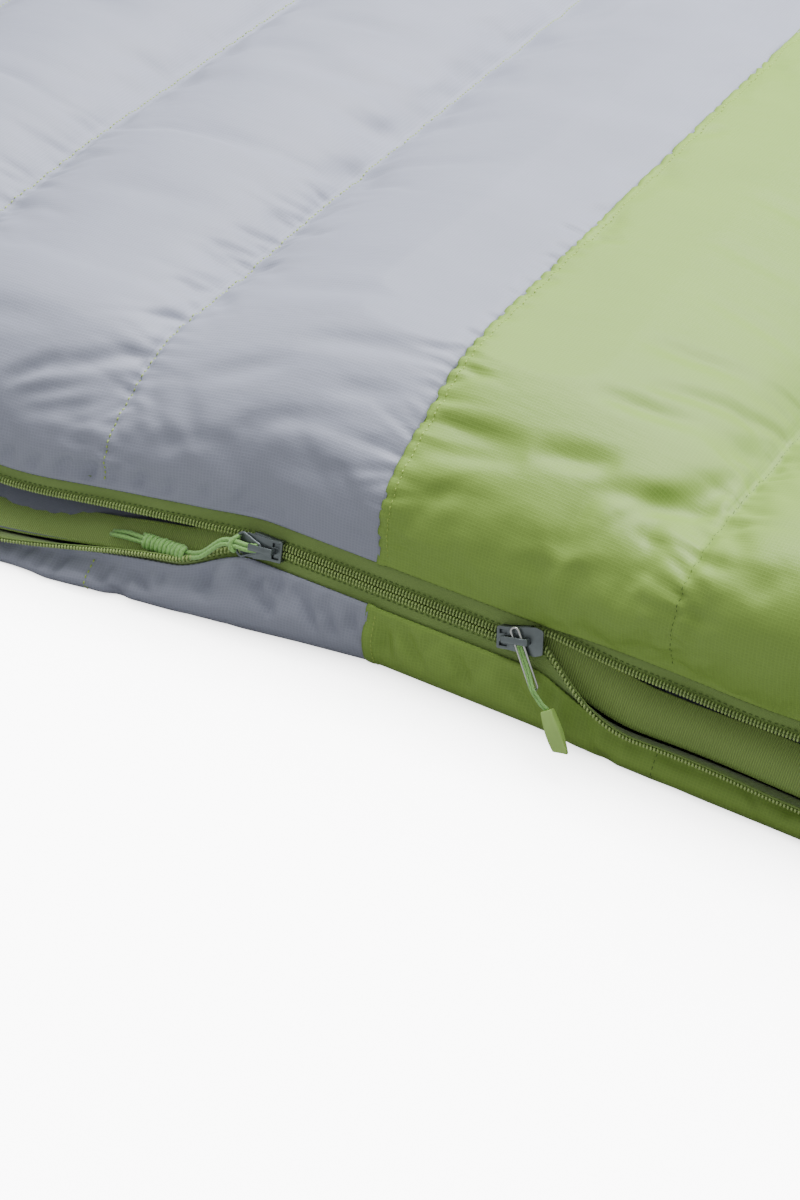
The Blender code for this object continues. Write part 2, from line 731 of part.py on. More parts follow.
HEAD_BAIL_LENGTH = 0.0315
HEAD_BAIL_WIDTH = CORD + BAIL_WIRE + 0.0002
HEAD_BAIL_ABOVE = 0.0065
HEAD_BAIL_ANGLE = math.radians(23.0)  # from straight across, towards the nose
FOOT_BAIL_LENGTH = 0.0150
FOOT_BAIL_WIDTH = 0.0060


def build_head_slider(looks):
    """The slider on the head side, with its hanging wire bail, cord and moulded tip."""
    frame = slider_frame(HEAD_TAIL_X, HEAD_TURN, to_head=True)
    slider_body("head_slider_body", looks["metal"], frame)
    slider_guard("head_slider_guard", looks["metal"], frame, HEAD_GUARD_HALF)
    slider_crown("head_slider_crown", looks["metal"], frame)
    slider_lock("head_slider_lock", looks["bright"], frame)

    along = Vector((math.sin(HEAD_BAIL_ANGLE), -math.cos(HEAD_BAIL_ANGLE), 0.0))
    across = Vector((math.cos(HEAD_BAIL_ANGLE), math.sin(HEAD_BAIL_ANGLE), 0.0))
    middle = Vector((BAIL_U, 0.0, BAIL_LEVEL))

    def on_pull(down, side=0.0, lift=0.0):
        return frame @ (middle + along * down + across * side + Vector((0.0, 0.0, lift)))

    end = HEAD_BAIL_LENGTH - HEAD_BAIL_ABOVE
    wire = [on_pull(a, b) for a, b in round_loop(HEAD_BAIL_WIDTH, -HEAD_BAIL_ABOVE, end)]
    tube("head_bail", wire, BAIL_WIRE, looks["bright"], closed=True, resolution=1)
    over = (BAIL_WIRE + CORD) / 2 + GAP
    route = [
        (0.0045, 0.0, 0.0),
        (0.0100, 0.0, 0.0),
        (0.0160, 0.0, 0.0006),
        (0.0210, 0.0, over * 0.8),
        (end, 0.0003, over + 0.0004),
        (end + 0.0040, 0.0012, over),
        (end + 0.0075, 0.0024, 0.0026),
        (end + 0.0105, 0.0040, 0.0020),
    ]
    cord = sampled([on_pull(*point) for point in route], 2.0 * CORD)
    tube("head_pull_cord", cord, CORD, looks["mint"])
    build_tip("head_pull_tip", cord, looks["mint"])


def build_tip(name, cord, look):
    """Tapered moulded tip on the end of a cord."""
    axis = (cord[-1] - cord[-2]).normalized()
    out = Vector((0.0, -math.cos(CHAIN_LEAN), math.sin(CHAIN_LEAN)))
    side = axis.cross(out).normalized()
    out = side.cross(axis)
    bm = bmesh.new()
    bmesh.ops.create_cone(bm, cap_ends=True, segments=12, radius1=0.5, radius2=0.5, depth=1.0)
    upright = [e for e in bm.edges if abs(e.verts[0].co.z - e.verts[1].co.z) > 0.5]
    bmesh.ops.subdivide_edges(bm, edges=upright, cuts=5, use_grid_fill=True)
    for vert in bm.verts:
        share = vert.co.z + 0.5
        swell = 0.62 + 0.38 * smooth(2.2 * share) - 0.45 * smooth((share - 0.6) / 0.4)
        vert.co.x *= TIP_WIDTH * swell
        vert.co.y *= TIP_THICKNESS * swell
        vert.co.z = GAP + share * TIP_LENGTH
    made = add_object(name, bm, look)
    frame = Matrix((side, out, axis)).transposed().to_4x4()
    frame.translation = cord[-1]
    made.matrix_world = frame
    return made


def build_foot_slider(looks):
    """The slider on the foot side, with its flat bail, cord and bound grip."""
    frame = slider_frame(FOOT_TAIL_X, FOOT_TURN, to_head=False)
    slider_body("foot_slider_body", looks["metal"], frame)
    slider_guard("foot_slider_guard", looks["metal"], frame, FOOT_GUARD_HALF)
    slider_crown("foot_slider_crown", looks["metal"], frame)
    slider_lock("foot_slider_lock", looks["bright"], frame)
    reach = BAIL_WIRE / 2
    loop = round_loop(FOOT_BAIL_WIDTH, BAIL_U - reach, BAIL_U - reach + FOOT_BAIL_LENGTH)
    wire = [frame @ Vector((u, w, BAIL_LEVEL)) for u, w in loop]
    tube("foot_bail", wire, BAIL_WIRE, looks["bright"], closed=True, resolution=1)

    end = frame @ Vector((BAIL_U + FOOT_BAIL_LENGTH - reach, 0.0, BAIL_LEVEL))
    out = Vector((0.0, -math.cos(CHAIN_LEAN), math.sin(CHAIN_LEAN)))
    over = (BAIL_WIRE + CORD) / 2 + GAP
    start = end + Vector((0.0050, 0.0, 0.0)) + out * 0.0004
    route = [
        start,
        end + out * over,
        end + Vector((-0.0070, -0.0020, -0.0012)) + out * 0.0010,
        end + Vector((-0.0168, -0.0069, -0.0099)),
        end + Vector((-0.0258, -0.0064, -0.0144)),
    ]
    cord = sampled(route, 2.0 * CORD)
    tube("foot_pull_cord", cord, CORD, looks["mint"])
    axis = Vector((-1.0, 0.02, -0.09)).normalized()
    first = cord[-1] + axis * 3 * GAP
    grip = [first, first + axis * WHIP_LENGTH]
    tube("foot_pull_grip", [grip[0], (grip[0] + grip[1]) / 2, grip[1]], WHIP_DIAMETER, looks["mint"])
    side = Vector((0.0, 0.62, 0.78))
    for index, sign in enumerate((-1.0, 1.0)):
        base = grip[1] + axis * GAP + side * (sign * (CORD / 2 + GAP))
        far = base + axis * TAIL_STRAND + side * (sign * 0.0006) + Vector((0.0, 0.0, -0.0035 * index))
        middle = (base + far) / 2 + Vector((0.0, 0.0, 0.0008))
        tube(f"foot_pull_tail_{index + 1}", sampled([base, middle, far], 2.0 * CORD), CORD, looks["mint"])


def main():
    clear_scene()
    looks = {
        "grey": material("shell_grey", GREY, 0.5),
        "green": material("shell_green", GREEN, 0.5),
        "lining": material("lining_grey", LINING_GREY, 0.6),
        "fill": material("fill_white", FILL, 0.95),
        "olive": material("tape_olive", OLIVE, 0.75),
        "coil": material("coil_olive", OLIVE, 0.4),
        "strip": material("strip_olive", OLIVE, 0.7),
        "metal": material("slider_gunmetal", METAL, 0.35, 0.9),
        "bright": material("bright_steel", BRIGHT, 0.25, 1.0),
        "mint": material("cord_mint", MINT, 0.6),
    }
    build_layers(looks)
    build_side_seam(looks)
    build_zipper(looks)
    build_head_slider(looks)
    build_foot_slider(looks)


main()
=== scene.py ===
"""Looks of a camp quilt that is folded lengthwise and joined by a two-way coil zipper.

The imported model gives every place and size: X runs along the quilt (+X is the green head end), the
zipper lies along -Y, the sewn side seam along +Y, and Z is up. All sizes are in metres.
"""

import logging
import math
from collections.abc import Callable, Sequence
from dataclasses import dataclass, field
from enum import Enum

import bmesh
import bpy
import numpy as np
from mathutils import Matrix, Vector


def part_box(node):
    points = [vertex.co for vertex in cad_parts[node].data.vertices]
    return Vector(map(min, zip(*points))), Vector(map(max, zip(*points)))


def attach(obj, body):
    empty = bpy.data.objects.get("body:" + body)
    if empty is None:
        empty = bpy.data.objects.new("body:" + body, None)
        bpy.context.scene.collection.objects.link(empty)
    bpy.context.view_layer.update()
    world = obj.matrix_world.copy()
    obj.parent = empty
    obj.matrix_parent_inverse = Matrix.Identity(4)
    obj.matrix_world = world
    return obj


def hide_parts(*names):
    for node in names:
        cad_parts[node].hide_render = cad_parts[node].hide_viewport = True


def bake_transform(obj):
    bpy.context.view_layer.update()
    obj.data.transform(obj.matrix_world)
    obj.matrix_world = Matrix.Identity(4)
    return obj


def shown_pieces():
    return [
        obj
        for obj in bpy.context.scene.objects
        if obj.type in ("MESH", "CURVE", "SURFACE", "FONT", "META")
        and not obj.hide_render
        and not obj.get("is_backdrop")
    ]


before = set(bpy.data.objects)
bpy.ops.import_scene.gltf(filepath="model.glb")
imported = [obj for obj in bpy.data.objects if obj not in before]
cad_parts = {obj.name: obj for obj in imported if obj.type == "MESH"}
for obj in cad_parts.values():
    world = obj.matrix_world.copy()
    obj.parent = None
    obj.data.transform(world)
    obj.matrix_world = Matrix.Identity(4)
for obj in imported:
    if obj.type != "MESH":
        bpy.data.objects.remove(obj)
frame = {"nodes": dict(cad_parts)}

LOG = logging.getLogger("quilt")
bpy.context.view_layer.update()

Point = tuple[float, float]
Place = Callable[[float, float], Vector]
Colour = tuple[float, float, float]
Socket = bpy.types.NodeSocket
Piece = bpy.types.Object
Shape = bmesh.types.BMesh

# ---------------------------------------------------------------------------------------------
# Sizes of the quilt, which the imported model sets
# ---------------------------------------------------------------------------------------------

HALF_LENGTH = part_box("upper_lining")[1].x
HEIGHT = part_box("upper_shell_green")[1].z
TAPE_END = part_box("upper_tape")[1].x
SEAM_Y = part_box("side_seam_binding")[0].y
FOLD_Z = HEIGHT / 2
LAYER = 0.052
BAFFLE = 0.160
LINING_TOP = LAYER
LINING_UNDER = HEIGHT - LAYER

CHAIN_Y = -0.336
CHAIN_Z = 0.050
LEAN = math.radians(24.0)
LOWER_REACH = 0.0135
UPPER_REACH = 0.0155
LIP = 0.0030
COIL_WIDTH = 0.0035
COIL_HEIGHT = 0.0022
COIL_PITCH = 0.0018
STITCH_PITCH = 0.0032

HEAD_TAIL_X = 0.0715
HEAD_TURN = math.radians(12.0)
FOOT_TAIL_X = -0.0525
FOOT_TURN = math.radians(6.0)
SLIDER_LENGTH = 0.0180
GUARD_LENGTH = 0.0245
WEDGE = 0.0022
WEDGE_RUN = 0.0160
BAIL_U = 0.0120
BAIL_LEVEL = 0.00705

# Where the sewn rows, the hems and the looked-at stretch of the zipper lie
LIP_ROW = 0.0024
END_TAPER = 0.085
UPPER_HEM_Z = 0.060
LOWER_HEM_Z = 0.030
SEAM_INSET = 0.0005
CLOSE_UP = (-0.32, 0.32)
TAPE_STEPS = (0.0040, 0.0160)
MOST_PUFF = 0.0125
LINING_LENGTH = 0.74
RIBBON_WIDTH = 0.0225
HEM_LENGTH = 0.750
HEM_REACH = 0.0090

# Thicknesses of the sewn cloths
SHELL_CLOTH = 0.0007
THIN_CLOTH = 0.0006
BINDING_CLOTH = 0.0008

# The stage's light
SKY = 0.60
# How brightly the floor glows for the camera; ambient occlusion dims the glow near the quilt, a
# painted contact shadow
GLOW = 8.0
LAMPS = (
    ("overhead", (-0.15, 0.60, 1.60), (0.05, -0.20, 0.10), 1.6, 86.0),
    ("back", (1.00, 1.30, 1.30), (0.10, -0.20, 0.10), 1.7, 26.0),
)

# Out of the quilt, square to the closed chain
OUT = Vector((0.0, -math.cos(LEAN), math.sin(LEAN)))


class Layer(Enum):
    """The two filled layers, by the body that each rides on."""

    LOWER = "lower_layer"
    UPPER = "upper_layer"

    @property
    def word(self) -> str:
        """The first word of this layer's node names."""
        return self.name.lower()


class Panel(Enum):
    """The two colours of cloth along the quilt."""

    GREY = "grey"
    GREEN = "green"


def srgb(red: int, green: int, blue: int) -> Colour:
    """Turn a screen colour from 0 to 255 into a linear one."""
    shares = (value / 255.0 for value in (red, green, blue))
    return tuple(s / 12.92 if s <= 0.04045 else ((s + 0.055) / 1.055) ** 2.4 for s in shares)


def ease(value: float) -> float:
    """Ease from 0 to 1 and hold outside that range."""
    value = min(1.0, max(0.0, value))
    return value * value * (3.0 - 2.0 * value)


# ---------------------------------------------------------------------------------------------
# Finishes
# ---------------------------------------------------------------------------------------------


class Graph:
    """A material's node tree, with one short call for each kind of node that is used here."""

    def __init__(self, name: str, colour: Colour, roughness: float, metallic: float = 0.0) -> None:
        """Make a material of one colour, with its shader's main values."""
        self.made = bpy.data.materials.new(name)
        self.made.use_nodes = True
        self.tree = self.made.node_tree
        self.shader = self.tree.nodes["Principled BSDF"]
        self.set("Base Color", (*colour, 1.0))
        self.set("Roughness", roughness)
        self.set("Metallic", metallic)

    def set(self, socket: str, value: object) -> None:
        """Set one value on the shader itself."""
        self.shader.inputs[socket].default_value = value

    def node(self, kind: str, inputs: dict[object, object], **settings: object) -> bpy.types.Node:
        """Add a node.

        Args:
            kind: The node's type, without its ShaderNode prefix.
            inputs: Values or sockets, by the input's name or number.
            **settings: Attributes of the node, such as its operation.

        Returns:
            The new node.
        """
        made = self.tree.nodes.new("ShaderNode" + kind)
        for key, value in settings.items():
            setattr(made, key, value)
        for key, value in inputs.items():
            if isinstance(value, Socket):
                self.tree.links.new(value, made.inputs[key])
            else:
                made.inputs[key].default_value = value
        return made

    def coordinates(self, kind: str) -> Socket:
        """The UV or Object output of a texture coordinate."""
        return self.node("TexCoord", {}).outputs[kind]

    def axis(self, vector: Socket, name: str) -> Socket:
        """One axis of a vector."""
        return self.node("SeparateXYZ", {0: vector}).outputs[name]

    def scaled(self, vector: Socket, scale: Sequence[float]) -> Socket:
        """A vector with each axis scaled."""
        return self.node("Mapping", {"Vector": vector, "Scale": scale}).outputs[0]

    def math(self, operation: str, first: object, second: object = 0.0) -> Socket:
        """The result of one sum."""
        return self.node("Math", {0: first, 1: second}, operation=operation).outputs[0]

    def noise(self, vector: Socket, scale: float, detail: float) -> Socket:
        """A noise from 0 to 1."""
        inputs = {"Vector": vector, "Scale": scale, "Detail": detail}
        return self.node("TexNoise", inputs).outputs["Fac"]

    def lines(self, value: Socket, pitch: float, power: float) -> Socket:
        """Parallel ridges from 0 to 1.

        Args:
            value: The coordinate across the lines, in metres.
            pitch: From one line to the next.
            power: Above 1 makes the ridges narrow.

        Returns:
            The height of the ridges.
        """
        turned = self.math("COSINE", self.math("MULTIPLY", value, 2.0 * math.pi / pitch))
        half = self.math("MULTIPLY", turned, 0.5)
        return self.math("POWER", self.math("ADD", half, 0.5), power)

    def mixed(self, factor: object, first: object, second: object) -> Socket:
        """A mix of two colours."""
        made = self.node("Mix", {"Factor": factor}, data_type="RGBA")
        for slot, value in ((6, first), (7, second)):
            if isinstance(value, Socket):
                self.tree.links.new(value, made.inputs[slot])
            else:
                made.inputs[slot].default_value = (*value, 1.0)
        return made.outputs[2]

    def spread(self, value: object, low: float, high: float) -> Socket:
        """Map 0 to 1 onto low to high."""
        return self.node("MapRange", {"Value": value, "To Min": low, "To Max": high}).outputs[0]

    def colour(self, socket: Socket) -> None:
        """Use a socket for the colour."""
        self.tree.links.new(socket, self.shader.inputs["Base Color"])

    def roughness(self, socket: Socket) -> None:
        """Use a socket for the roughness."""
        self.tree.links.new(socket, self.shader.inputs["Roughness"])

    def bump(self, height: Socket, distance: float, strength: float = 1.0) -> None:
        """Use a height for the surface's relief, over any relief that it already has."""
        made = self.node("Bump", {"Height": height, "Distance": distance, "Strength": strength})
        normal = self.shader.inputs["Normal"]
        if normal.is_linked:
            self.tree.links.new(normal.links[0].from_socket, made.inputs["Normal"])
        self.tree.links.new(made.outputs[0], normal)


@dataclass(frozen=True)
class Finish:
    """The base of every finish: a name, a slot and a colour."""

    name: str
    slot: str
    colour: Colour

    def shade(self, amount: float) -> Colour:
        """The colour, lighter above 1 and darker below."""
        return tuple(min(1.0, value * amount) for value in self.colour)

    def cloudy(self, graph: Graph, cloud: object, dark: float, light: float) -> Socket:
        """A mix of two shades of the colour, by a noise from 0 to 1."""
        return graph.mixed(cloud, self.shade(dark), self.shade(light))

    def build(self) -> bpy.types.Material:
        """Make the material."""
        raise NotImplementedError

    def dress(self, piece: Piece) -> None:
        """Give a piece this finish."""
        made = bpy.data.materials.get(self.name) or self.build()
        piece.data.materials.clear()
        piece.data.materials.append(made)


@dataclass(frozen=True)
class Ripstop(Finish):
    """Thin satin nylon with a fine ripstop grid."""

    roughness: float = 0.42
    grid: float = 0.0018

    def build(self) -> bpy.types.Material:
        """Make the material on the cloth's own UV map, which is in metres."""
        graph = Graph(self.name, self.colour, self.roughness)
        graph.set("Specular IOR Level", 0.21)
        cloth = graph.coordinates("UV")
        across, along = graph.axis(cloth, "X"), graph.axis(cloth, "Y")
        ribs = graph.math(
            "MAXIMUM", graph.lines(across, self.grid, 6.0), graph.lines(along, self.grid, 6.0)
        )
        yarn = graph.math(
            "MULTIPLY",
            graph.lines(across, self.grid / 6, 1.0),
            graph.lines(along, self.grid / 6, 1.0),
        )
        cloud = graph.noise(graph.scaled(cloth, (9.0, 22.0, 1.0)), 1.0, 3.0)
        tone = self.cloudy(graph, cloud, 0.90, 1.08)
        dotted = graph.math("MULTIPLY", ribs, graph.spread(cloud, 0.16, 0.36))
        graph.colour(graph.mixed(dotted, tone, self.shade(1.45)))
        graph.roughness(graph.spread(cloud, self.roughness - 0.05, self.roughness + 0.07))
        graph.bump(yarn, 0.00002, 0.5)
        graph.bump(ribs, 0.00005, 0.7)
        small = graph.noise(graph.scaled(cloth, (70.0, 160.0, 1.0)), 1.0, 4.0)
        graph.bump(small, 0.0006, 0.45)
        return graph.made


@dataclass(frozen=True)
class Woven(Finish):
    """Zipper tape or binding: a fine twill in which fine ribs cross."""

    pitch: float = 0.0009
    roughness: float = 0.72

    def build(self) -> bpy.types.Material:
        """Make the material on the piece's UV map, which is in metres."""
        graph = Graph(self.name, self.colour, self.roughness)
        graph.set("Sheen Weight", 0.25)
        cloth = graph.coordinates("UV")
        across, along = graph.axis(cloth, "X"), graph.axis(cloth, "Y")
        slant = graph.math("ADD", across, graph.math("PINGPONG", along, 0.0016))
        twill = graph.lines(slant, self.pitch, 1.0)
        rows = graph.lines(along, self.pitch, 1.5)
        slanted, straight = graph.math("MULTIPLY", twill, 0.6), graph.math("MULTIPLY", rows, 0.4)
        weave = graph.math("ADD", slanted, straight)
        worn = graph.noise(graph.scaled(cloth, (40.0, 90.0, 1.0)), 1.0, 3.0)
        tone = self.cloudy(graph, worn, 0.86, 1.10)
        graph.colour(graph.mixed(graph.spread(weave, 0.0, 0.5), self.shade(0.72), tone))
        graph.bump(weave, 0.0002, 0.7)
        return graph.made


@dataclass(frozen=True)
class Grosgrain(Finish):
    """Ribbed ribbon whose ribs run across it."""

    pitch: float = 0.00115

    def build(self) -> bpy.types.Material:
        """Make the material on the ribbon's UV map, which is in metres."""
        graph = Graph(self.name, self.colour, 0.6)
        graph.set("Sheen Weight", 0.2)
        cloth = graph.coordinates("UV")
        along = graph.axis(cloth, "X")
        uneven = graph.noise(graph.scaled(cloth, (30.0, 300.0, 1.0)), 1.0, 2.0)
        wobble = graph.math("MULTIPLY", uneven, 0.0002)
        ribs = graph.lines(graph.math("ADD", along, wobble), self.pitch, 1.6)
        fibre = graph.noise(graph.scaled(cloth, (1500.0, 4500.0, 1.0)), 1.0, 2.0)
        worn = graph.noise(graph.scaled(cloth, (25.0, 60.0, 1.0)), 1.0, 3.0)
        tone = self.cloudy(graph, worn, 0.88, 1.12)
        graph.colour(graph.mixed(graph.spread(ribs, 0.25, 1.0), self.shade(0.55), tone))
        graph.bump(fibre, 0.00004, 0.6)
        graph.bump(ribs, 0.0003, 0.8)
        return graph.made


@dataclass(frozen=True)
class Filament(Finish):
    """Nylon coil or sewing thread, with a fine grain."""

    roughness: float = 0.36

    def build(self) -> bpy.types.Material:
        """Make the material on Object coordinates."""
        graph = Graph(self.name, self.colour, self.roughness)
        graph.set("Specular IOR Level", 0.5)
        place = graph.coordinates("Object")
        cloud = graph.noise(place, 60.0, 3.0)
        graph.colour(self.cloudy(graph, cloud, 0.78, 1.22))
        graph.bump(graph.noise(place, 4200.0, 2.0), 0.00004, 0.5)
        return graph.made


@dataclass(frozen=True)
class Braid(Finish):
    """Braided cord: two sets of slanted yarns on the cord's UV map."""

    diameter: float = 0.0026

    def build(self) -> bpy.types.Material:
        """Make the material: U runs round the cord from 0 to 1, and V along it in metres."""
        graph = Graph(self.name, self.colour, 0.55)
        graph.set("Sheen Weight", 0.35)
        place = graph.coordinates("Object")
        cloth = graph.coordinates("UV")
        round_it, along = graph.axis(cloth, "X"), graph.axis(cloth, "Y")
        turns = graph.math("MULTIPLY", along, 1.0 / (self.diameter * 1.1))
        left, right = (
            graph.lines(graph.math(way, graph.math("MULTIPLY", round_it, 3.0), turns), 1.0, 1.0)
            for way in ("ADD", "SUBTRACT")
        )
        yarns = graph.math("MAXIMUM", left, right)
        fibre = graph.noise(place, 5200.0, 3.0)
        tone = self.cloudy(graph, fibre, 0.82, 1.15)
        graph.colour(graph.mixed(graph.spread(yarns, 0.2, 1.0), self.shade(0.68), tone))
        graph.bump(fibre, 0.00005, 0.6)
        graph.bump(yarns, 0.00016, 0.7)
        return graph.made


@dataclass(frozen=True)
class Moulded(Finish):
    """Soft moulded plastic with a faint grain."""

    def build(self) -> bpy.types.Material:
        """Make the material on Object coordinates."""
        graph = Graph(self.name, self.colour, 0.5)
        graph.set("Subsurface Weight", 0.12)
        graph.set("Subsurface Radius", (0.0015, 0.0020, 0.0008))
        place = graph.coordinates("Object")
        cloud = graph.noise(place, 180.0, 4.0)
        graph.colour(self.cloudy(graph, cloud, 0.88, 1.10))
        graph.roughness(graph.spread(cloud, 0.42, 0.58))
        graph.bump(graph.noise(place, 2600.0, 3.0), 0.00003, 0.6)
        return graph.made


@dataclass(frozen=True)
class Metal(Finish):
    """Plated or enamelled metal with fine scratches and rubbed patches."""

    roughness: float = 0.32
    metallic: float = 1.0

    def build(self) -> bpy.types.Material:
        """Make the material on Object coordinates."""
        graph = Graph(self.name, self.colour, self.roughness, self.metallic)
        place = graph.coordinates("Object")
        cloud = graph.noise(place, 260.0, 5.0)
        scratches = graph.noise(graph.scaled(place, (400.0, 5200.0, 5200.0)), 1.0, 2.0)
        graph.colour(self.cloudy(graph, cloud, 0.82, 1.25))
        wear = graph.math("MULTIPLY", cloud, scratches)
        graph.roughness(graph.spread(wear, self.roughness - 0.06, self.roughness + 0.22))
        graph.bump(scratches, 0.00002, 0.35)
        return graph.made


GREY_SHELL = Ripstop("ripstop_grey", "shell_grey", srgb(141, 145, 160), roughness=0.47)
GREEN_SHELL = Ripstop("ripstop_green", "shell_green", srgb(124, 154, 70), roughness=0.45)
LINING = Ripstop("taffeta_grey", "lining_grey", srgb(112, 116, 130), roughness=0.5, grid=0.0009)
TAPE_CLOTH = Woven("zipper_tape", "tape_olive", srgb(132, 162, 80))
BINDING = Woven("seam_binding", "tape_olive", srgb(110, 140, 60))
# Lit and shaded copies of one grosgrain: the lower strip's copy is lightened to make up for the
# shade that the upper layer casts on it, a painted light, and the upper strip's darker copy is
# painted shade
RIBBON = Grosgrain("grosgrain", "strip_olive", srgb(156, 188, 96))
RIBBON_PAINTED_SHADE = Grosgrain("grosgrain_dark", "strip_olive", srgb(92, 120, 48))
COIL_NYLON = Filament("coil_nylon", "coil_olive", srgb(164, 188, 114), roughness=0.30)
COIL_THREAD = Filament("coil_thread", "coil_olive", srgb(78, 104, 40), roughness=0.6)
SEAM_THREAD = Filament("seam_thread", "shell_green", srgb(156, 182, 84), roughness=0.55)
DARK_THREAD = Filament("lip_thread", "tape_olive", srgb(66, 92, 30), roughness=0.6)
GREY_THREAD = Filament("grey_thread", "shell_grey", srgb(84, 88, 96), roughness=0.6)
CORD_BRAID = Braid("cord_braid", "cord_mint", srgb(140, 196, 104))
TIP_PLASTIC = Moulded("tip_plastic", "tip_mint", srgb(160, 196, 104))
FILM = Moulded("film", "tape_olive", srgb(120, 145, 75))
SLIDER_METAL = Metal("slider_metal", "slider_gunmetal", srgb(112, 120, 122), 0.36, 0.85)
BRIGHT_METAL = Metal("bright_metal", "bright_steel", srgb(205, 206, 204), 0.20)


# ---------------------------------------------------------------------------------------------
# Mesh tools
# ---------------------------------------------------------------------------------------------


def stood(name: str, data: bpy.types.ID) -> Piece:
    """Stand a new object for a mesh, curve, lamp or camera at the origin."""
    made = bpy.data.objects.new(name, data)
    bpy.context.scene.collection.objects.link(made)
    return made


def from_bmesh(name: str, bm: Shape) -> bpy.types.Mesh:
    """Turn a bmesh, which is freed, into a mesh."""
    mesh = bpy.data.meshes.new(name)
    bm.to_mesh(mesh)
    bm.free()
    return mesh


def dressed(name: str, mesh: bpy.types.Mesh, look: Finish) -> Piece:
    """Stand a smooth mesh as a piece with a finish."""
    piece = stood(name, mesh)
    mesh.polygons.foreach_set("use_smooth", [True] * len(mesh.polygons))
    look.dress(piece)
    return piece


def finished(name: str, bm: Shape, look: Finish) -> Piece:
    """Turn a bmesh, which is freed, into a piece with a finish."""
    return dressed(name, from_bmesh(name, bm), look)


def axes_matrix(x: Vector, y: Vector, z: Vector, origin: Sequence[float]) -> Matrix:
    """A matrix that takes each axis to the given direction, and the origin to the given point."""
    made = Matrix((x, y, z)).transposed().to_4x4()
    made.translation = origin
    return made


def shrink_v(bm: Shape, size: float) -> None:
    """Scale V of a sheet's UV map from shares of its width to metres."""
    store = bm.loops.layers.uv.active
    for face in bm.faces:
        for loop in face.loops:
            loop[store].uv.y *= size


def grid_sheet(columns: Sequence[float], rows: Sequence[float], place: Place) -> Shape:
    """Make a sheet from a grid, with a UV map in metres.

    Args:
        columns: The value of U at each column.
        rows: The value of V at each row.
        place: Gives the point for a U and a V.

    Returns:
        The sheet's mesh, without thickness.
    """
    bm = bmesh.new()
    wide, high = len(columns) - 1, len(rows) - 1
    bmesh.ops.create_grid(bm, x_segments=wide, y_segments=high, size=0.5)
    store = bm.loops.layers.uv.new("UVMap")
    known: dict[bmesh.types.BMVert, Point] = {}
    for vert in bm.verts:
        u = columns[round((vert.co.x + 0.5) * wide)]
        v = rows[round((vert.co.y + 0.5) * high)]
        known[vert] = (u, v)
        vert.co = place(u, v)
    for face in bm.faces:
        for loop in face.loops:
            loop[store].uv = known[loop.vert]
    return bm


def apply_modifiers(piece: Piece) -> None:
    """Replace a piece's mesh by what its modifiers make of it."""
    graph = bpy.context.evaluated_depsgraph_get()
    made = bpy.data.meshes.new_from_object(piece.evaluated_get(graph))
    piece.modifiers.clear()
    old = piece.data
    piece.data = made
    bpy.data.meshes.remove(old)
    made.name = piece.name


def subdivide(piece: Piece, levels: int = 1) -> None:
    """Apply a subdivision surface."""
    step = piece.modifiers.new("subdivision", "SUBSURF")
    step.levels = step.render_levels = levels
    step.boundary_smooth = "PRESERVE_CORNERS"
    step.uv_smooth = "NONE"
    apply_modifiers(piece)


def thicken(piece: Piece, thickness: float) -> None:
    """Give a sheet its thickness, behind its faces."""
    step = piece.modifiers.new("thickness", "SOLIDIFY")
    step.thickness = thickness
    step.offset = -1.0
    step.use_even_offset = False


def evenly(low: float, high: float, step: float) -> list[float]:
    """Positions after low up to high, as near to a step apart as divides the span evenly."""
    count = max(1, round((high - low) / step))
    return [low + (high - low) * index / count for index in range(1, count + 1)]


def stepped(start: float, end: float, fine: Point, steps: Point) -> list[float]:
    """Positions from start to end, with a small step inside a range and a larger one outside it.

    Args:
        start: The first position.
        end: The last position.
        fine: The range of small steps.
        steps: The small step and the large one.

    Returns:
        Rising positions that hit both ends of the range exactly.
    """
    marks = sorted({start, end, *(mark for mark in fine if start < mark < end)})
    result = [marks[0]]
    for low, high in zip(marks, marks[1:]):
        inside = fine[0] - 1e-9 <= low and high <= fine[1] + 1e-9
        result += evenly(low, high, steps[0 if inside else 1])
    return result


def through(points: Sequence[Vector], count: int) -> list[Vector]:
    """Points at an even spacing on a smooth curve through the given points."""
    given = [Vector(point) for point in points]
    given = [2 * given[0] - given[1]] + given + [2 * given[-1] - given[-2]]
    dense = []
    for index in range(1, len(given) - 2):
        a, b, c, d = given[index - 1 : index + 3]
        for step in range(10):
            t = step / 10
            far = 2 * a - 5 * b + 4 * c - d
            dense.append(0.5 * (2 * b + (c - a) * t + far * t**2 + (3 * b - a - 3 * c + d) * t**3))
    dense.append(given[-2])
    walked = [0.0]
    for a, b in zip(dense, dense[1:]):
        walked.append(walked[-1] + (b - a).length)
    result, at = [], 0
    for index in range(count):
        wanted = walked[-1] * index / (count - 1)
        while at < len(dense) - 2 and walked[at + 1] < wanted:
            at += 1
        span = walked[at + 1] - walked[at] or 1.0
        result.append(dense[at].lerp(dense[at + 1], min(1.0, (wanted - walked[at]) / span)))
    return result


def scattered(template: Shape, places: Sequence[Matrix]) -> Shape:
    """Copy a small shape to many places in one mesh.

    Args:
        template: The shape, which is freed.
        places: One matrix for each copy.

    Returns:
        The joined mesh.
    """
    mesh = from_bmesh("template", template)
    bm = bmesh.new()
    count = len(mesh.vertices)
    for _ in places:
        bm.from_mesh(mesh)
    bm.verts.ensure_lookup_table()
    for index, place in enumerate(places):
        for vert in bm.verts[index * count : (index + 1) * count]:
            vert.co = place @ vert.co
    bpy.data.meshes.remove(mesh)
    return bm


def basis(origin: Vector, along: Vector, normal: Vector, scale: Vector) -> Matrix:
    """A matrix whose X runs along, and whose Z stands on the surface."""
    x = along.normalized()
    y = normal.cross(x).normalized()
    z = x.cross(y)
    return axes_matrix(x * scale.x, y * scale.y, z * scale.z, origin)


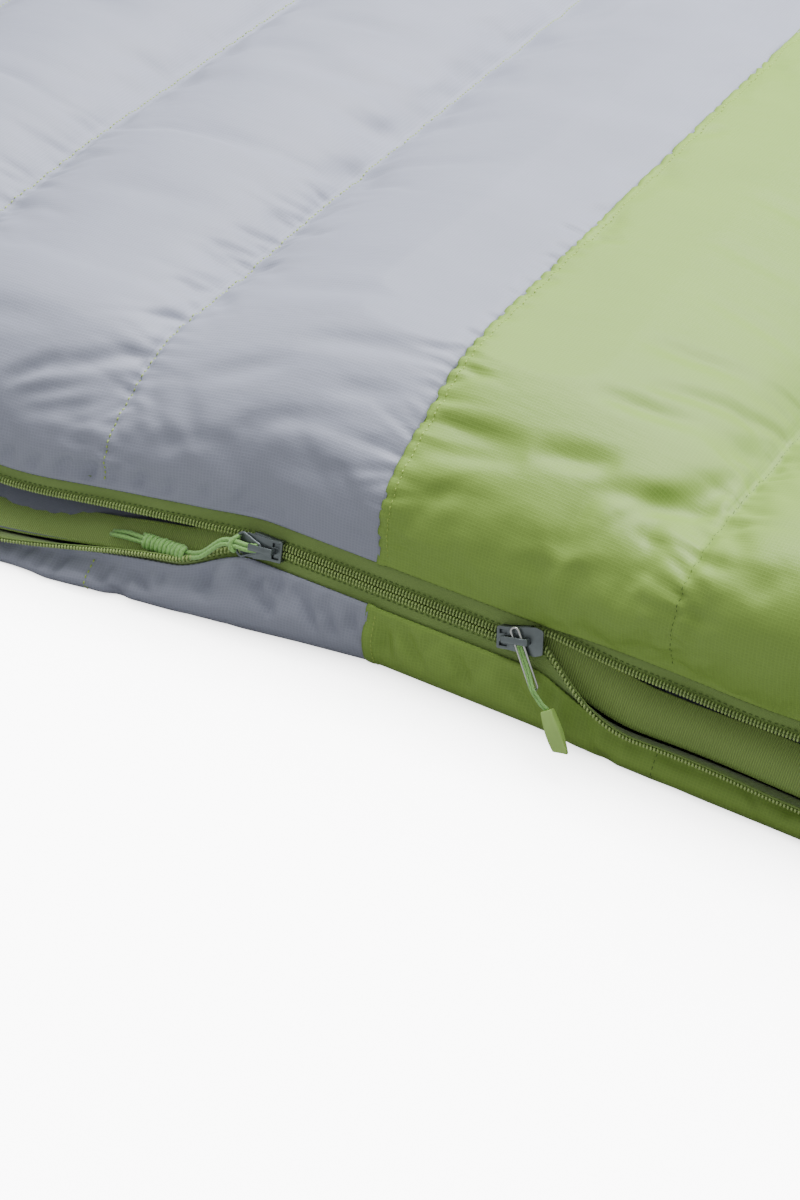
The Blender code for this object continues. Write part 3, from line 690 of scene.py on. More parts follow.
def stitch_bead() -> Shape:
    """One small bead of thread, a unit across."""
    bm = bmesh.new()
    bmesh.ops.create_icosphere(bm, subdivisions=1, radius=0.5)
    return bm


def tube_mesh(points: Sequence[Vector], radius: float, sides: int = 8) -> Shape:
    """Extrude a round section along points, with a UV map of turns and metres.

    Args:
        points: The centreline.
        radius: The tube's radius.
        sides: How many sides the section has.

    Returns:
        The closed tube's mesh.
    """
    bm = bmesh.new()
    direction = (points[1] - points[0]).normalized()
    side = direction.orthogonal().normalized()
    rings: list[list[bmesh.types.BMVert]] = []
    made = bmesh.ops.create_circle(bm, cap_ends=False, segments=sides, radius=radius)["verts"]
    edges = list(bm.edges)
    ring = list(made)
    for index, point in enumerate(points):
        before, after = points[max(index - 1, 0)], points[min(index + 1, len(points) - 1)]
        direction = (after - before).normalized()
        side = (side - direction * side.dot(direction)).normalized()
        other = direction.cross(side)
        if index:
            grown = bmesh.ops.extrude_edge_only(bm, edges=edges)["geom"]
            fresh = {item for item in grown if isinstance(item, bmesh.types.BMVert)}
            ring = [
                next(e.other_vert(v) for e in v.link_edges if e.other_vert(v) in fresh)
                for v in ring
            ]
            edges = [bm.edges.get((ring[i], ring[(i + 1) % sides])) for i in range(sides)]
        for step, vert in enumerate(ring):
            angle = 2.0 * math.pi * step / sides
            vert.co = point + (side * math.cos(angle) + other * math.sin(angle)) * radius
        rings.append(ring)
    turns = {vert: step / sides for ring in rings for step, vert in enumerate(ring)}
    run = 0.0
    along = {}
    for index, ring in enumerate(rings):
        run += (points[index] - points[index - 1]).length if index else 0.0
        along.update(dict.fromkeys(ring, run))
    store = bm.loops.layers.uv.new("UVMap")
    for face in bm.faces:
        highest = max(turns[loop.vert] for loop in face.loops)
        for loop in face.loops:
            u = turns[loop.vert]
            loop[store].uv = (u + 1.0 if highest - u > 0.5 else u, along[loop.vert])
    for ring in (rings[0], rings[-1]):
        bm.faces.new(ring)
    bmesh.ops.recalc_face_normals(bm, faces=bm.faces)
    return bm


# ---------------------------------------------------------------------------------------------
# The two edges along the zipper
# ---------------------------------------------------------------------------------------------


def openness(x: float) -> float:
    """How far the lower edge has fallen open at x: 0 at the closed chain, 1 where it lies flat."""
    if x > 0:
        past = x - HEAD_TAIL_X - GUARD_LENGTH
        start = math.sin(math.pi / 2 * min(1.0, max(0.0, past / 0.055)))
        return 0.95 * start + 0.25 * ease((past - 0.06) / 0.14)
    past = FOOT_TAIL_X - SLIDER_LENGTH - x
    return 0.38 * ease(past / 0.042) + 0.72 * ease(past / 0.180)


def split(x: float) -> float:
    """How far a slider's wedge has pushed each coil from the chain's middle at x."""
    past_tail = x - HEAD_TAIL_X if x > 0 else FOOT_TAIL_X - x
    return WEDGE * ease((past_tail - 0.002) / WEDGE_RUN)


def turn_shift(x: float) -> float:
    """How far the chain's middle leaves its line because each slider sits turned on it."""
    if x > 0:
        return math.tan(HEAD_TURN) * min(max(x - HEAD_TAIL_X, 0.0), GUARD_LENGTH)
    return -math.tan(FOOT_TURN) * min(max(FOOT_TAIL_X - x, 0.0), SLIDER_LENGTH)


def wander(x: float, size: float, phase: float) -> float:
    """A slow, uneven sway along the quilt, as sewn cloth has."""
    return size * (0.6 * math.sin(31.0 * x + phase) + 0.4 * math.sin(73.0 * x + 2.3 * phase))


@dataclass(frozen=True)
class Edge:
    """The sewn edge of one layer's tape, with directions along the tape and out of the quilt."""

    layer: Layer
    reach: float

    def drift(self, x: float) -> Point:
        """How far the edge has sagged from the chain's line, as (y, z)."""
        if self.layer is Layer.LOWER:
            loose = min(1.0, openness(x))
            return wander(x, 0.0012, 0.7) * loose, wander(x, 0.0010, 2.1) * loose
        if x > 0:
            free = ease((x - 0.10) / 0.12)
            return -0.003 * free, wander(x, 0.0015, 1.1) * free
        free = 0.13 * ease((-0.062 - x) / 0.045) + 0.87 * ease((-0.062 - x) / 0.170)
        return -0.019 * free, -0.016 * free + wander(x, 0.0012, 0.4) * free

    def state(self, x: float) -> tuple[Vector, Vector, Vector]:
        """Return a point of the sewn edge and the unit directions along the tape and outwards."""
        side = 1.0 if self.layer is Layer.UPPER else -1.0
        dy, dz = self.drift(x)
        y = CHAIN_Y + side * self.reach * math.sin(LEAN)
        z = CHAIN_Z + side * self.reach * math.cos(LEAN)
        share = openness(x)
        if self.layer is Layer.UPPER:
            lift = 0.003 * min(1.0, share)
            along = Vector((0.0, -math.sin(LEAN), -math.cos(LEAN)))
            return Vector((x, y + dy, z + lift + dz)), along, Vector((0.0, along.z, -along.y))
        rest = (CHAIN_Y - 0.0015, 0.0200) if x > 0 else (CHAIN_Y - 0.0250, 0.0125)
        lean = math.radians(60.0 if x > 0 else 65.0)
        angle = -LEAN + (lean + LEAN) * min(1.05, share)
        along = Vector((0.0, -math.sin(angle), math.cos(angle)))
        y += (rest[0] - y) * share
        z += (rest[1] - z) * share
        return Vector((x, y + dy, z + dz)), along, Vector((0.0, -along.z, along.y))

    def point(self, x: float, along_tape: float, outwards: float) -> Vector:
        """A point given along the tape and out of it."""
        base, along, out = self.state(x)
        return base + along * along_tape + out * outwards

    def coil_shift(self, x: float) -> float:
        """How far the coil has moved along the tape's direction at x."""
        toward = -turn_shift(x) if self.layer is Layer.UPPER else turn_shift(x)
        return toward * (1.0 - min(1.0, openness(x))) - split(x)

    @property
    def coil_end(self) -> float:
        """Where the coil's inner side lies along the tape, before any shift."""
        return self.reach - 0.0002


LOWER = Edge(Layer.LOWER, LOWER_REACH)
UPPER = Edge(Layer.UPPER, UPPER_REACH)


# ---------------------------------------------------------------------------------------------
# Creases and puckers, as relief on the cloth's own coordinates
# ---------------------------------------------------------------------------------------------


@dataclass(frozen=True)
class Crease:
    """A groove in cloth, from one (x, s) to another; s runs over the cloth from the zipper."""

    start: Point
    end: Point
    width: float
    depth: float
    pucker: bool = False

    def lower(self, places: np.ndarray, height: np.ndarray) -> None:
        """Press this crease into a relief.

        Args:
            places: The (x, s) of each point.
            height: The relief of each point, which is changed.
        """
        a, b = np.array(self.start), np.array(self.end)
        reach = 3.0 * self.width
        low, high = np.minimum(a, b) - reach, np.maximum(a, b) + reach
        near = np.nonzero(np.all((places > low) & (places < high), axis=1))[0]
        if not len(near):
            return
        arm = b - a
        length = float(np.hypot(*arm))
        offset = places[near] - a
        share = (offset @ arm) / length**2
        across = (offset[:, 0] * arm[1] - offset[:, 1] * arm[0]) / length
        inside = np.clip(share, 0.0, 1.0)
        past = (share - inside) * length
        square = (across**2 + past**2) / self.width**2
        if self.pucker:
            taper = (1.0 - inside) ** 1.3
        else:
            taper = np.sin(np.pi * np.clip(inside * 0.96 + 0.02, 0.0, 1.0)) ** 0.8
        height[near] -= self.depth * taper * (1.0 - 0.55 * square) * np.exp(-square)


def seam_puckers(
    x: float, length: float, seed: int, sides: Sequence[float], depth: float
) -> list[Crease]:
    """Short creases that leave a seam across the quilt.

    Args:
        x: Where the seam lies.
        length: How long the seam is.
        seed: Chooses the creases.
        sides: The sides of the seam that the creases lie on, as -1 and 1.
        depth: The depth of the deepest.

    Returns:
        The creases.
    """
    chance = np.random.default_rng(seed)
    made = []
    for side in sides:
        s = 0.006
        while s < length:
            size = chance.uniform(0.25, 1.0) ** 1.5
            run = 0.010 + 0.050 * size * chance.uniform(0.5, 1.0)
            slant = chance.normal(0.0, 0.25)
            end = (x + side * run, s + run * slant)
            width = 0.0016 + 0.0026 * size
            made.append(Crease((x, s), end, width, depth * (0.35 + 0.65 * size), pucker=True))
            s += chance.uniform(0.0055, 0.0135)
    return made


def lip_puckers(
    start: float, end: float, seed: int, size: float, depth: float, pucker: bool = True
) -> list[Crease]:
    """Creases that run from the zipper's seam into the cloth.

    Args:
        start: The lowest x.
        end: The highest x.
        seed: Chooses the creases.
        size: The length of the longest.
        depth: The depth of the deepest.
        pucker: Whether they are deepest at the seam, and not halfway.

    Returns:
        The creases.
    """
    chance = np.random.default_rng(seed)
    made = []
    x = start + 0.004
    while x < end:
        share = chance.uniform(0.2, 1.0) ** 1.4
        run = size * (0.25 + 0.75 * share)
        far = (x + run * chance.normal(0.0, 0.35), 0.0045 + run)
        width = 0.0018 + 0.0036 * share
        made.append(Crease((x, 0.0045), far, width, depth * (0.3 + 0.7 * share), pucker))
        x += chance.uniform(0.008, 0.021)
    return made


def long_folds(
    box: tuple[float, float, float, float], count: int, seed: int, depth: float
) -> list[Crease]:
    """Soft folds that run roughly along the quilt.

    Args:
        box: The lowest and highest x, then the lowest and highest s.
        count: How many folds.
        seed: Chooses the folds.
        depth: The depth of the deepest.

    Returns:
        The folds.
    """
    chance = np.random.default_rng(seed)
    made = []
    for _ in range(count):
        x, s = chance.uniform(box[0], box[1]), chance.uniform(box[2], box[3])
        run = chance.uniform(0.05, 0.14)
        slant = chance.normal(0.0, 0.16)
        end = (x + run, s + run * slant)
        width = chance.uniform(0.005, 0.013)
        made.append(Crease((x, s), end, width, depth * chance.uniform(0.4, 1.0)))
    return made


def param_of(piece: Piece) -> np.ndarray:
    """The (x, s) of each of a sheet's points, read back from its UV map."""
    mesh = piece.data
    uv = np.zeros(len(mesh.loops) * 2)
    mesh.uv_layers[0].data.foreach_get("uv", uv)
    corner = np.zeros(len(mesh.loops), int)
    mesh.loops.foreach_get("vertex_index", corner)
    places = np.zeros((len(mesh.vertices), 2))
    places[corner] = uv.reshape(-1, 2)
    return places


def points_of(piece: Piece, kind: str = "co") -> np.ndarray:
    """The points of a piece's mesh, or with the kind "normal" the normals there."""
    found = np.zeros(len(piece.data.vertices) * 3)
    piece.data.vertices.foreach_get(kind, found)
    return found.reshape(-1, 3)


def normals_of(piece: Piece) -> np.ndarray:
    """The normals at the points of a piece's mesh."""
    return points_of(piece, "normal")


def set_points(piece: Piece, points: np.ndarray) -> None:
    """Move the points of a piece's mesh."""
    piece.data.vertices.foreach_set("co", points.ravel())
    piece.data.update()


def face_towards(piece: Piece, way: Sequence[float]) -> None:
    """Turn a sheet's faces so that on the whole they look in a direction."""
    if (normals_of(piece) @ np.array(way)).sum() < 0.0:
        piece.data.flip_normals()


def within(value: np.ndarray, start: float, run: float) -> np.ndarray:
    """Shares that rise from 0 at the start to 1 a run further on."""
    return np.clip((value - start) / run, 0.0, 1.0)


def raise_points(piece: Piece, height: np.ndarray) -> None:
    """Move each of a piece's points along its normal."""
    set_points(piece, points_of(piece) + normals_of(piece) * height[:, None])


def press(
    piece: Piece, creases: Sequence[Crease], hold: Callable[[np.ndarray], np.ndarray]
) -> None:
    """Press creases into a sheet.

    Args:
        piece: The sheet.
        creases: Its creases.
        hold: Gives each place's share of the relief, from 0 where it is held to 1.
    """
    places = param_of(piece)
    height = np.zeros(len(places))
    for crease in creases:
        crease.lower(places, height)
    raise_points(piece, height * hold(places))


CLOTH_SETTINGS = {
    "quality": 6,
    "mass": 0.12,
    "tension_stiffness": 12.0,
    "compression_stiffness": 12.0,
    "shear_stiffness": 4.0,
    "bending_stiffness": 0.05,
    "air_damping": 2.0,
    "use_pressure": True,
    "shrink_min": -0.035,
}
CLOTH_FRAMES = 20


def puff_by_cloth(piece: Piece, held: np.ndarray, pressure: float, most: float) -> None:
    """Let a sheet swell and wrinkle between its seams by a short cloth simulation.

    Args:
        piece: The sheet, whose normals point out of the filling.
        held: True at each point that a seam holds.
        pressure: The filling's push.
        most: The furthest that a point may move.
    """
    before = points_of(piece)
    group = piece.vertex_groups.new(name="held")
    group.add([int(index) for index in np.nonzero(held)[0]], 1.0, "REPLACE")
    cloth = piece.modifiers.new("cloth", "CLOTH")
    settings = cloth.settings
    for key, value in CLOTH_SETTINGS.items():
        setattr(settings, key, value)
    settings.uniform_pressure_force = pressure
    settings.vertex_group_mass = "held"
    settings.effector_weights.gravity = 0.0
    cloth.collision_settings.use_collision = False
    scene = bpy.context.scene
    for number in range(1, CLOTH_FRAMES + 1):
        scene.frame_set(number)
    apply_modifiers(piece)
    piece.vertex_groups.clear()
    scene.frame_set(1)
    moved = points_of(piece) - before
    length = np.linalg.norm(moved, axis=1, keepdims=True)
    capped = moved * (most * np.tanh(length / most) / np.maximum(length, 1e-9))
    set_points(piece, before + capped)


# ---------------------------------------------------------------------------------------------
# The filled layers
# ---------------------------------------------------------------------------------------------

# Upper shell from its lip inwards, as (y, z) from the lip: halfway between two quilting lines, on
# the line towards the head, and on the line towards the foot, where the edge has sagged
CROWN = [(0.001, 0.015), (0.004, 0.029), (0.012, 0.039), (0.025, 0.047), (0.039, 0.055),
         (0.056, 0.063), (0.080, 0.071), (0.107, 0.074)]  # fmt: skip
HEAD_LINE = [(-0.006, 0.016), (-0.004, 0.034), (0.006, 0.047), (0.022, 0.053), (0.040, 0.054),
             (0.056, 0.053), (0.080, 0.051), (0.107, 0.048)]  # fmt: skip
FOOT_LINE = [(0.001, 0.010), (0.005, 0.020), (0.013, 0.028), (0.025, 0.035), (0.040, 0.043),
             (0.058, 0.050), (0.082, 0.053), (0.108, 0.053)]  # fmt: skip
# Lower shell below its lip, as (y from the chain, z), from the chain down to the ground
CLOSED_BULGE = [(-0.0095, 0.032), (-0.0115, 0.024), (-0.0105, 0.013), (-0.0050, 0.004),
                (0.0070, 0.0)]  # fmt: skip
FOOT_BULGE = [(-0.0320, 0.0095), (-0.0370, 0.0070), (-0.0375, 0.0040), (-0.0340, 0.0014),
              (-0.0250, 0.0)]  # fmt: skip
HEAD_BULGE = [(-0.0080, 0.0160), (-0.0110, 0.0115), (-0.0105, 0.0060), (-0.0060, 0.0020),
              (0.0020, 0.0)]  # fmt: skip
# Lower lining inside its lip, as (y from the chain, share of the layer's thickness)
CLOSED_LINING = [(0.0060, 0.74), (0.0200, 0.88), (0.0440, 1.0)]
FOOT_LINING = [(-0.0140, 0.42), (0.0060, 0.72), (0.0400, 1.0)]
HEAD_LINING = [(0.0080, 0.577), (0.0200, 0.77), (0.0420, 1.0)]


def blend_points(first: Sequence[Point], second: Sequence[Point], share: float) -> list[Point]:
    """Mix two outlines point by point."""
    return [
        (a[0] + (b[0] - a[0]) * share, a[1] + (b[1] - a[1]) * share) for a, b in zip(first, second)
    ]


def swell(x: float) -> float:
    """0 on a quilting line and 1 halfway to the next; the panels' seam is no quilting line."""
    if abs(x) < BAFFLE:
        share = abs(x) / BAFFLE
        return (1.0 - share**2.2) ** 0.8
    share = (abs(x) / BAFFLE) % 1.0
    return (4.0 * share * (1.0 - share)) ** 0.75


def tapered(point: Vector, hem: float) -> Vector:
    """Bring a point towards the hem's height near the ends, where the layer is sewn flat."""
    left = HALF_LENGTH - abs(point.x)
    share = min(1.0, left / END_TAPER)
    kept = math.sqrt(max(0.0, 1.0 - (1.0 - share) ** 2))
    return Vector((point.x, point.y, hem + (point.z - hem) * kept))


class Outline:
    """A layer's cross-section as points along a smooth line, kept for each x."""

    def __init__(self, corners: Callable[[float], list[Vector]], rows: Sequence[float]) -> None:
        """Take the corners of the section at any x, and the rows that it will be asked for."""
        self.corners = corners
        self.rows = rows
        self.known: dict[float, list[Vector]] = {}

    def __call__(self, x: float, s: float) -> Vector:
        """The point at x and at s along the section, in metres on a section of nominal length."""
        key = round(x, 6)
        if key not in self.known:
            self.known[key] = through(self.corners(x), 500)
        line = self.known[key]
        at = s / self.rows[-1] * (len(line) - 1)
        low = min(int(at), len(line) - 2)
        return line[low].lerp(line[low + 1], at - low)


def lip_fold(edge: Edge, x: float, stands: float) -> list[Vector]:
    """The shell's folded lip over the tape; its last point stands that far out of the tape."""
    folded = ((-0.0010, 0.0002), (0.0010, 0.0010), (-0.0004, 0.0024), (-0.0030, stands))
    return [edge.point(x, LIP + past, outwards) for past, outwards in folded]


def upper_shell_corners(x: float) -> list[Vector]:
    """Outer face of the upper shell, from its folded lip to the side seam."""
    fold = lip_fold(UPPER, x, 0.0026)
    lip = fold[-1]
    wall = HEAD_LINE if x > 0 else FOOT_LINE
    if abs(x) < BAFFLE:
        wall = blend_points(wall, CROWN, swell(x))
    else:
        wall = [(dy, dz + 0.016 * swell(x) * min(1.0, dz / 0.045)) for dy, dz in wall]
    points = fold + [Vector((x, lip.y + dy, lip.z + dz)) for dy, dz in wall]
    top = points[-1].z
    level = 0.5 * top + 0.5 * (0.114 + 0.024 * swell(x))
    middle = ((-0.130, level), (0.0, level), (0.150, level - 0.001))
    points += [Vector((x, y, z)) for y, z in middle]
    far = ((0.262, 0.96), (0.312, 0.84), (0.346, 0.60), (0.367, 0.30), (SEAM_Y - SEAM_INSET, 0.03))
    points += [Vector((x, y, FOLD_Z + (level - FOLD_Z) * share)) for y, share in far]
    return [points[0]] + [tapered(p, UPPER_HEM_Z) if p.z > UPPER_HEM_Z else p for p in points[1:]]


def upper_lining_corners(x: float) -> list[Vector]:
    """Inner face of the upper lining, from behind the tape to the side seam."""
    points = [UPPER.point(x, LIP - 0.0006, -0.0012), UPPER.point(x, -0.0015, -0.0030)]
    sag = 0.0025 * swell(x)
    near = ((-0.316, -0.004), (-0.290, 0.0), (-0.130, -sag), (0.0, -sag), (0.170, -sag))
    points += [Vector((x, y, LINING_UNDER + dz)) for y, dz in (*near, (0.300, -0.001))]
    points.append(Vector((x, 0.345, 0.5 * (LINING_UNDER + FOLD_Z))))
    points.append(Vector((x, SEAM_Y - SEAM_INSET, FOLD_Z + 0.0006)))
    return [tapered(p, UPPER_HEM_Z - 0.0016) if p.z > UPPER_HEM_Z else p for p in points]


def lower_shell_corners(x: float) -> list[Vector]:
    """Outer face of the lower shell, from its folded lip over the ground to the side seam."""
    share = min(1.15, openness(x) if x > 0 else max(openness(x), min(1.0, -x / 0.185)))
    bulge = blend_points(CLOSED_BULGE, HEAD_BULGE if x > 0 else FOOT_BULGE, share)
    points = lip_fold(LOWER, x, 0.0028)
    points += [Vector((x, CHAIN_Y + dy, max(0.0, z))) for dy, z in bulge]
    points += [Vector((x, y, 0.0)) for y in (-0.250, -0.100, 0.100, 0.262)]
    far = ((0.312, 0.010), (0.346, 0.026), (0.367, 0.044), (SEAM_Y - SEAM_INSET, FOLD_Z - 0.0016))
    points += [Vector((x, y, z)) for y, z in far]
    return [points[0]] + [tapered(p, LOWER_HEM_Z) if p.z < LOWER_HEM_Z else p for p in points[1:]]


def lower_lining_corners(x: float) -> list[Vector]:
    """Inner face of the lower lining, from behind the tape to the side seam."""
    points = [LOWER.point(x, LIP - 0.0008, -0.0036), LOWER.point(x, -0.0012, -0.0044)]
    rest = blend_points(CLOSED_LINING, HEAD_LINING if x > 0 else FOOT_LINING, min(1.0, openness(x)))
    points += [Vector((x, CHAIN_Y + dy, share * LINING_TOP)) for dy, share in rest]
    rise = 0.003 * swell(x)
    points += [Vector((x, y, LINING_TOP + rise)) for y in (-0.200, 0.0, 0.200)]
    points += [Vector((x, 0.300, LINING_TOP)), Vector((x, 0.345, 0.5 * (LINING_TOP + FOLD_Z)))]
    points.append(Vector((x, SEAM_Y - SEAM_INSET, FOLD_Z - 0.0006)))
    return [tapered(p, LOWER_HEM_Z + 0.0016) if p.z > LOWER_HEM_Z else p for p in points]


@dataclass
class FilledLayer:
    """One filled layer: its two shell panels, its lining, their stitching and its end hems."""

    layer: Layer
    shell_length: float = 0.860
    panels: dict[Panel, Piece] = field(default_factory=dict)

    @property
    def word(self) -> str:
        """The first word of this layer's node names."""
        return self.layer.word

    @property
    def upper(self) -> bool:
        """Whether this is the upper layer."""
        return self.layer is Layer.UPPER

    def quilting(self) -> list[float]:
        """Where the quilting lines lie; the panels' seam takes the place of the middle one."""
        count = round(HALF_LENGTH / BAFFLE)
        return [BAFFLE * step for step in range(-count + 1, count) if step]

    def columns(self, start: float, end: float) -> list[float]:
        """Columns of a shell, with one on every quilting line."""
        marks = sorted({start, end, *(x for x in self.quilting() if start < x < end)})
        result = [marks[0]]
        for low, high in zip(marks, marks[1:]):
            middle = (low + high) / 2
            result += evenly(low, high, 0.0050 if abs(middle) < CLOSE_UP[1] else 0.0125)
        return result

    def rows(self) -> list[float]:
        """Rows of a shell, close together near the zipper."""
        made = [0.0, 0.0012, LIP_ROW, 0.0040, 0.0060]
        fine, far = (0.300, 0.55) if self.upper else (0.075, 0.14)
        for end, step in ((fine, 0.0050), (far, 0.0105), (self.shell_length, 0.0240)):
            made += evenly(made[-1], end, step)
        return made

    def creases(self, panel: Panel) -> list[Crease]:
        """The puckers and folds of one panel."""
        green = panel is Panel.GREEN
        start, end = (0.0, HALF_LENGTH) if green else (-HALF_LENGTH, 0.0)
        seed = 11 * (1 + green) + 100 * self.upper
        made = []
        inner = [x for x in self.quilting() if start < x < end]
        if self.upper:
            made += seam_puckers(0.0, self.shell_length, seed, (1.0 if green else -1.0,), 0.0022)
            for index, x in enumerate(inner):
                depth = 0.0017 if green else 0.0015
                made += seam_puckers(x, self.shell_length, seed + 20 + index, (-1.0, 1.0), depth)
            made += lip_puckers(start, end, seed + 40, 0.030, 0.0024)
            made += long_folds((start, end - 0.1, 0.05, 0.75), 60, seed + 50, 0.0021)
            made += HAND_FOLDS[panel]
        else:
            reach = 0.075
            made += seam_puckers(0.0, reach, seed, (1.0 if green else -1.0,), 0.0010)
            for index, x in enumerate(inner):
                made += seam_puckers(x, reach, seed + 20 + index, (-1.0, 1.0), 0.0009)
            made += lip_puckers(start, end, seed + 40, 0.030, 0.0030)
            made += [fold for fold in LOWER_FOLDS if (fold.start[0] > 0) == green]
            depth = 0.0024 if green else 0.0032
            made += lip_puckers(start, end, seed + 60, 0.042, depth, pucker=False)
        return made

    def hold(self, places: np.ndarray) -> np.ndarray:
        """Each place's share of the relief: none at the sewn lip, the far seam and the ground."""
        s = places[:, 1]
        share = within(s, 0.0040, 0.006)
        share *= within(self.shell_length - s, 0.0, 0.04)
        share *= within(HALF_LENGTH - np.abs(places[:, 0]), 0.0, 0.02)
        return share if self.upper else share * (1.0 - within(s, 0.029, 0.015))

    def build_panel(self, panel: Panel) -> None:
        """One coloured panel of the shell."""
        green = panel is Panel.GREEN
        start, end = (-0.0012, HALF_LENGTH) if green else (-HALF_LENGTH, 0.0)
        rows = self.rows()
        outline = Outline(upper_shell_corners if self.upper else lower_shell_corners, rows)
        bm = grid_sheet(self.columns(start, end), rows, outline)
        name = f"{self.word}_{panel.value}_panel"
        piece = finished(name, bm, GREEN_SHELL if green else GREY_SHELL)
        self.face_out(piece)
        if self.upper:
            places = param_of(piece)
            held = (places[:, 1] < 0.0055) | (places[:, 1] > self.shell_length - 0.03)
            for x in [*self.quilting(), 0.0, start, end, -HALF_LENGTH]:
                held |= np.abs(places[:, 0] - x) < 1e-4
            puff_by_cloth(piece, held, 3.0, 0.0045)
        subdivide(piece)
        press(piece, self.creases(panel), self.hold)
        if green:
            places = param_of(piece)
            lap = np.exp(-(((places[:, 0] - 0.0012) / 0.0022) ** 2)) * 0.0007
            lap[places[:, 0] < 0.0] = 0.0006
            raise_points(piece, lap)
        points = points_of(piece)
        points[:, 2] = np.clip(points[:, 2], 0.0, HEIGHT + MOST_PUFF)
        set_points(piece, points)
        self.panels[panel] = piece
        thicken(piece, SHELL_CLOTH)
        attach(piece, self.layer.value)
        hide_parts(f"{self.word}_shell_{panel.value}")

    @staticmethod
    def face_out(piece: Piece) -> None:
        """Turn a shell's faces so that they look away from the filling."""
        points = points_of(piece)
        outward = (points - points.mean(axis=0)) * normals_of(piece)
        if outward[:, 1:].sum() < 0.0:
            piece.data.flip_normals()

    @staticmethod
    def hold_lining(places: np.ndarray) -> np.ndarray:
        """Each place's share of the lining's relief: none where it is sewn."""
        share = within(places[:, 1], 0.006, 0.01) * within(LINING_LENGTH - places[:, 1], 0.0, 0.05)
        return share * within(HALF_LENGTH - np.abs(places[:, 0]), 0.0, 0.03)

    def build_lining(self) -> None:
        """The lining of this layer."""
        rows = stepped(0.0, 0.760, (0.0, 0.080), (0.0060, 0.0280))
        outline = Outline(upper_lining_corners if self.upper else lower_lining_corners, rows)
        columns = stepped(-HALF_LENGTH, HALF_LENGTH, CLOSE_UP, (0.0060, 0.0160))
        piece = finished(f"{self.word}_lining_cloth", grid_sheet(columns, rows, outline), LINING)
        face_towards(piece, (0.0, 0.0, -1.0 if self.upper else 1.0))
        creases = lip_puckers(-HALF_LENGTH, HALF_LENGTH, 71 + self.upper, 0.050, 0.0030)
        for index, x in enumerate(self.quilting()):
            seed = 300 + index + 50 * self.upper
            creases += seam_puckers(x, LINING_LENGTH, seed, (-1.0, 1.0), 0.0010)
        subdivide(piece)
        press(piece, creases, self.hold_lining)
        thicken(piece, THIN_CLOTH)
        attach(piece, self.layer.value)
        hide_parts(f"{self.word}_lining", f"{self.word}_fill")


def folds(*rows: tuple[float, ...]) -> list[Crease]:
    """Creases from rows of x and s at the start, x and s at the end, width and depth."""
    return [Crease((x, s), (far_x, far_s), wide, deep) for x, s, far_x, far_s, wide, deep in rows]


# Folds that lie at set places on the shells near the zipper
LIP_BUMPS = (-0.222, -0.205, -0.188, -0.172, -0.158, -0.143, -0.126, -0.106, -0.086)
GREY_FOLDS = [
    *(Crease((x, 0.006), (x + 0.007, 0.021), 0.0034, 0.0024) for x in LIP_BUMPS),
    *folds(
        (-0.23, 0.052, -0.202, 0.078, 0.00625, 0.00312),
        (-0.228, 0.046, -0.18, 0.066, 0.00625, 0.00297),
        (-0.22, 0.04, -0.17, 0.056, 0.00687, 0.00267),
        (-0.208, 0.068, -0.164, 0.092, 0.0075, 0.00252),
        (-0.126, 0.08, -0.078, 0.102, 0.00875, 0.00163),
        (-0.086, 0.116, -0.008, 0.134, 0.00875, 0.00193),
        (-0.094, 0.058, -0.034, 0.076, 0.00875, 0.00163),
        (-0.154, 0.03, -0.098, 0.048, 0.0075, 0.00149),
        (-0.188, 0.014, -0.146, 0.012, 0.00625, 0.00193),
        (-0.078, 0.038, -0.022, 0.048, 0.00875, 0.00119),
        (-0.054, 0.092, -0.016, 0.1, 0.0075, 0.00134),
    ),
]
GREEN_FOLDS = folds(
    (0.004, 0.092, 0.058, 0.096, 0.00937, 0.00431), (0.058, 0.096, 0.102, 0.108, 0.00937, 0.00371),
    (0.094, 0.088, 0.156, 0.112, 0.00875, 0.00371), (0.006, 0.076, 0.06, 0.088, 0.0075, 0.00297),
    (0.004, 0.13, 0.018, 0.13, 0.00375, 0.00163), (0.068, 0.146, 0.124, 0.156, 0.00813, 0.00312),
    (0.088, 0.168, 0.154, 0.194, 0.0075, 0.00267), (0.004, 0.052, 0.056, 0.062, 0.0075, 0.00178),
    (0.07, 0.2, 0.132, 0.214, 0.00875, 0.00223), (0.05, 0.028, 0.138, 0.056, 0.01, 0.00193),
    (0.064, 0.046, 0.122, 0.066, 0.0075, 0.00134), (0.158, 0.076, 0.206, 0.078, 0.0075, 0.00178),
)
LOWER_FOLDS = folds(
    (-0.042, 0.008, -0.026, 0.034, 0.0045, 0.0046), (-0.060, 0.006, -0.066, 0.018, 0.0032, 0.0028),
    (-0.070, 0.010, -0.052, 0.031, 0.0046, 0.0040), (-0.100, 0.009, -0.086, 0.029, 0.0042, 0.0038),
    (-0.135, 0.009, -0.121, 0.025, 0.0040, 0.0032), (-0.024, 0.013, -0.016, 0.034, 0.0040, 0.0038),
    (-0.012, 0.010, -0.002, 0.030, 0.0030, 0.0024), (0.020, 0.009, 0.034, 0.032, 0.0045, 0.0036),
    (0.048, 0.010, 0.060, 0.030, 0.0040, 0.0030), (0.078, 0.012, 0.100, 0.032, 0.0050, 0.0034),
)
HAND_FOLDS: dict[Panel, list[Crease]] = {Panel.GREY: GREY_FOLDS, Panel.GREEN: GREEN_FOLDS}


# ---------------------------------------------------------------------------------------------
# Stitching
# ---------------------------------------------------------------------------------------------


